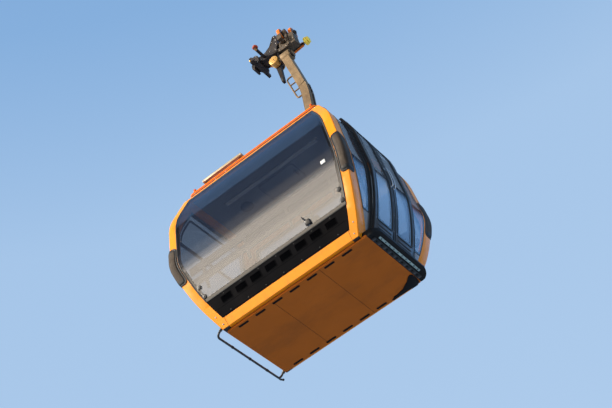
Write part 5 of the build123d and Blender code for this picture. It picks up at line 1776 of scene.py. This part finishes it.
def soft_box(name, direction, dist, width, height, radiance, color, edge=0.35, upright=None, foot=0.0):
    """Glowing card with faded edges, facing the object."""
    m = bpy.data.materials.new(name)
    m.use_nodes = True
    t = m.node_tree
    t.nodes.clear()
    out = t.nodes.new("ShaderNodeOutputMaterial")
    em = t.nodes.new("ShaderNodeEmission")
    em.inputs["Color"].default_value = (*color, 1)
    tc = t.nodes.new("ShaderNodeTexCoord")
    sp = t.nodes.new("ShaderNodeSeparateXYZ")
    t.links.new(tc.outputs["Generated"], sp.inputs[0])
    prod = None
    for ax in ("X", "Y"):
        r = t.nodes.new("ShaderNodeValToRGB")
        r.color_ramp.interpolation = "EASE"
        els = r.color_ramp.elements
        stops = upright if ax == "Y" and upright else [(0.0, 0.0), (edge, 1.0), (1 - edge, 1.0), (1.0, 0.0)]
        while len(els) < len(stops):
            els.new(0.5)
        for e, (p, v) in zip(els, stops):
            e.position = p
            e.color = (v, v, v, 1)
        t.links.new(sp.outputs[ax], r.inputs["Fac"])
        if prod is None:
            prod = r
        else:
            mu = t.nodes.new("ShaderNodeMath")
            mu.operation = "MULTIPLY"
            t.links.new(prod.outputs["Color"], mu.inputs[0])
            t.links.new(r.outputs["Color"], mu.inputs[1])
            sc = t.nodes.new("ShaderNodeMath")
            sc.operation = "MULTIPLY"
            sc.inputs[1].default_value = radiance
            t.links.new(mu.outputs[0], sc.inputs[0])
            t.links.new(sc.outputs[0], em.inputs["Strength"])
    t.links.new(em.outputs[0], out.inputs["Surface"])
    me = bpy.data.meshes.new(name)
    w, h = width / 2, height / 2
    me.from_pydata([(-w, foot - h, 0), (w, foot - h, 0), (w, h, 0), (-w, h, 0)], [], [(0, 1, 2, 3)])
    me.materials.append(m)
    o = bpy.data.objects.new(name, me)
    COLL.objects.link(o)
    at = Vector((0, 0, -3.0))
    o.location = at + Vector(direction).normalized() * dist
    aim(o, at)
    o.visible_camera = False
    o.visible_shadow = False
    return o


def photo_camera():
    c = bpy.data.cameras.new("camera")
    c.lens = 84.7
    c.sensor_width = 36.0
    c.clip_end = 500
    o = bpy.data.objects.new("camera", c)
    COLL.objects.link(o)
    right = Vector((0.587361, -0.778891, -0.219856))
    down = Vector((0.477714, 0.552941, -0.682676))
    fwd = Vector((0.653297, 0.295949, 0.696862))
    m = Matrix((right, -down, -fwd)).transposed().to_4x4()
    o.matrix_world = Matrix.Translation((-11.0685, -5.0649, -14.4147)) @ m
    bpy.context.scene.camera = o


stage_floor()
world_light()
key_light()
soft_box("low_card", (-0.95, 0.30, 0.40), 30.0, 46.0, 48.0, 5.0, (1.0, 0.86, 0.68), edge=0.46,
         upright=[(0.0, 0.0), (0.146, 0.95), (0.268, 1.0), (0.390, 0.42), (0.549, 0.10), (1.0, 0.0)], foot=8.64)
soft_box("cool_card", (0.72, -0.50, 0.42), 30.0, 30.0, 20.0, 2.8, (0.22, 0.50, 1.0), edge=0.40)
photo_camera()
bpy.context.scene.view_settings.view_transform = "Standard"
bpy.context.scene.view_settings.look = "None"
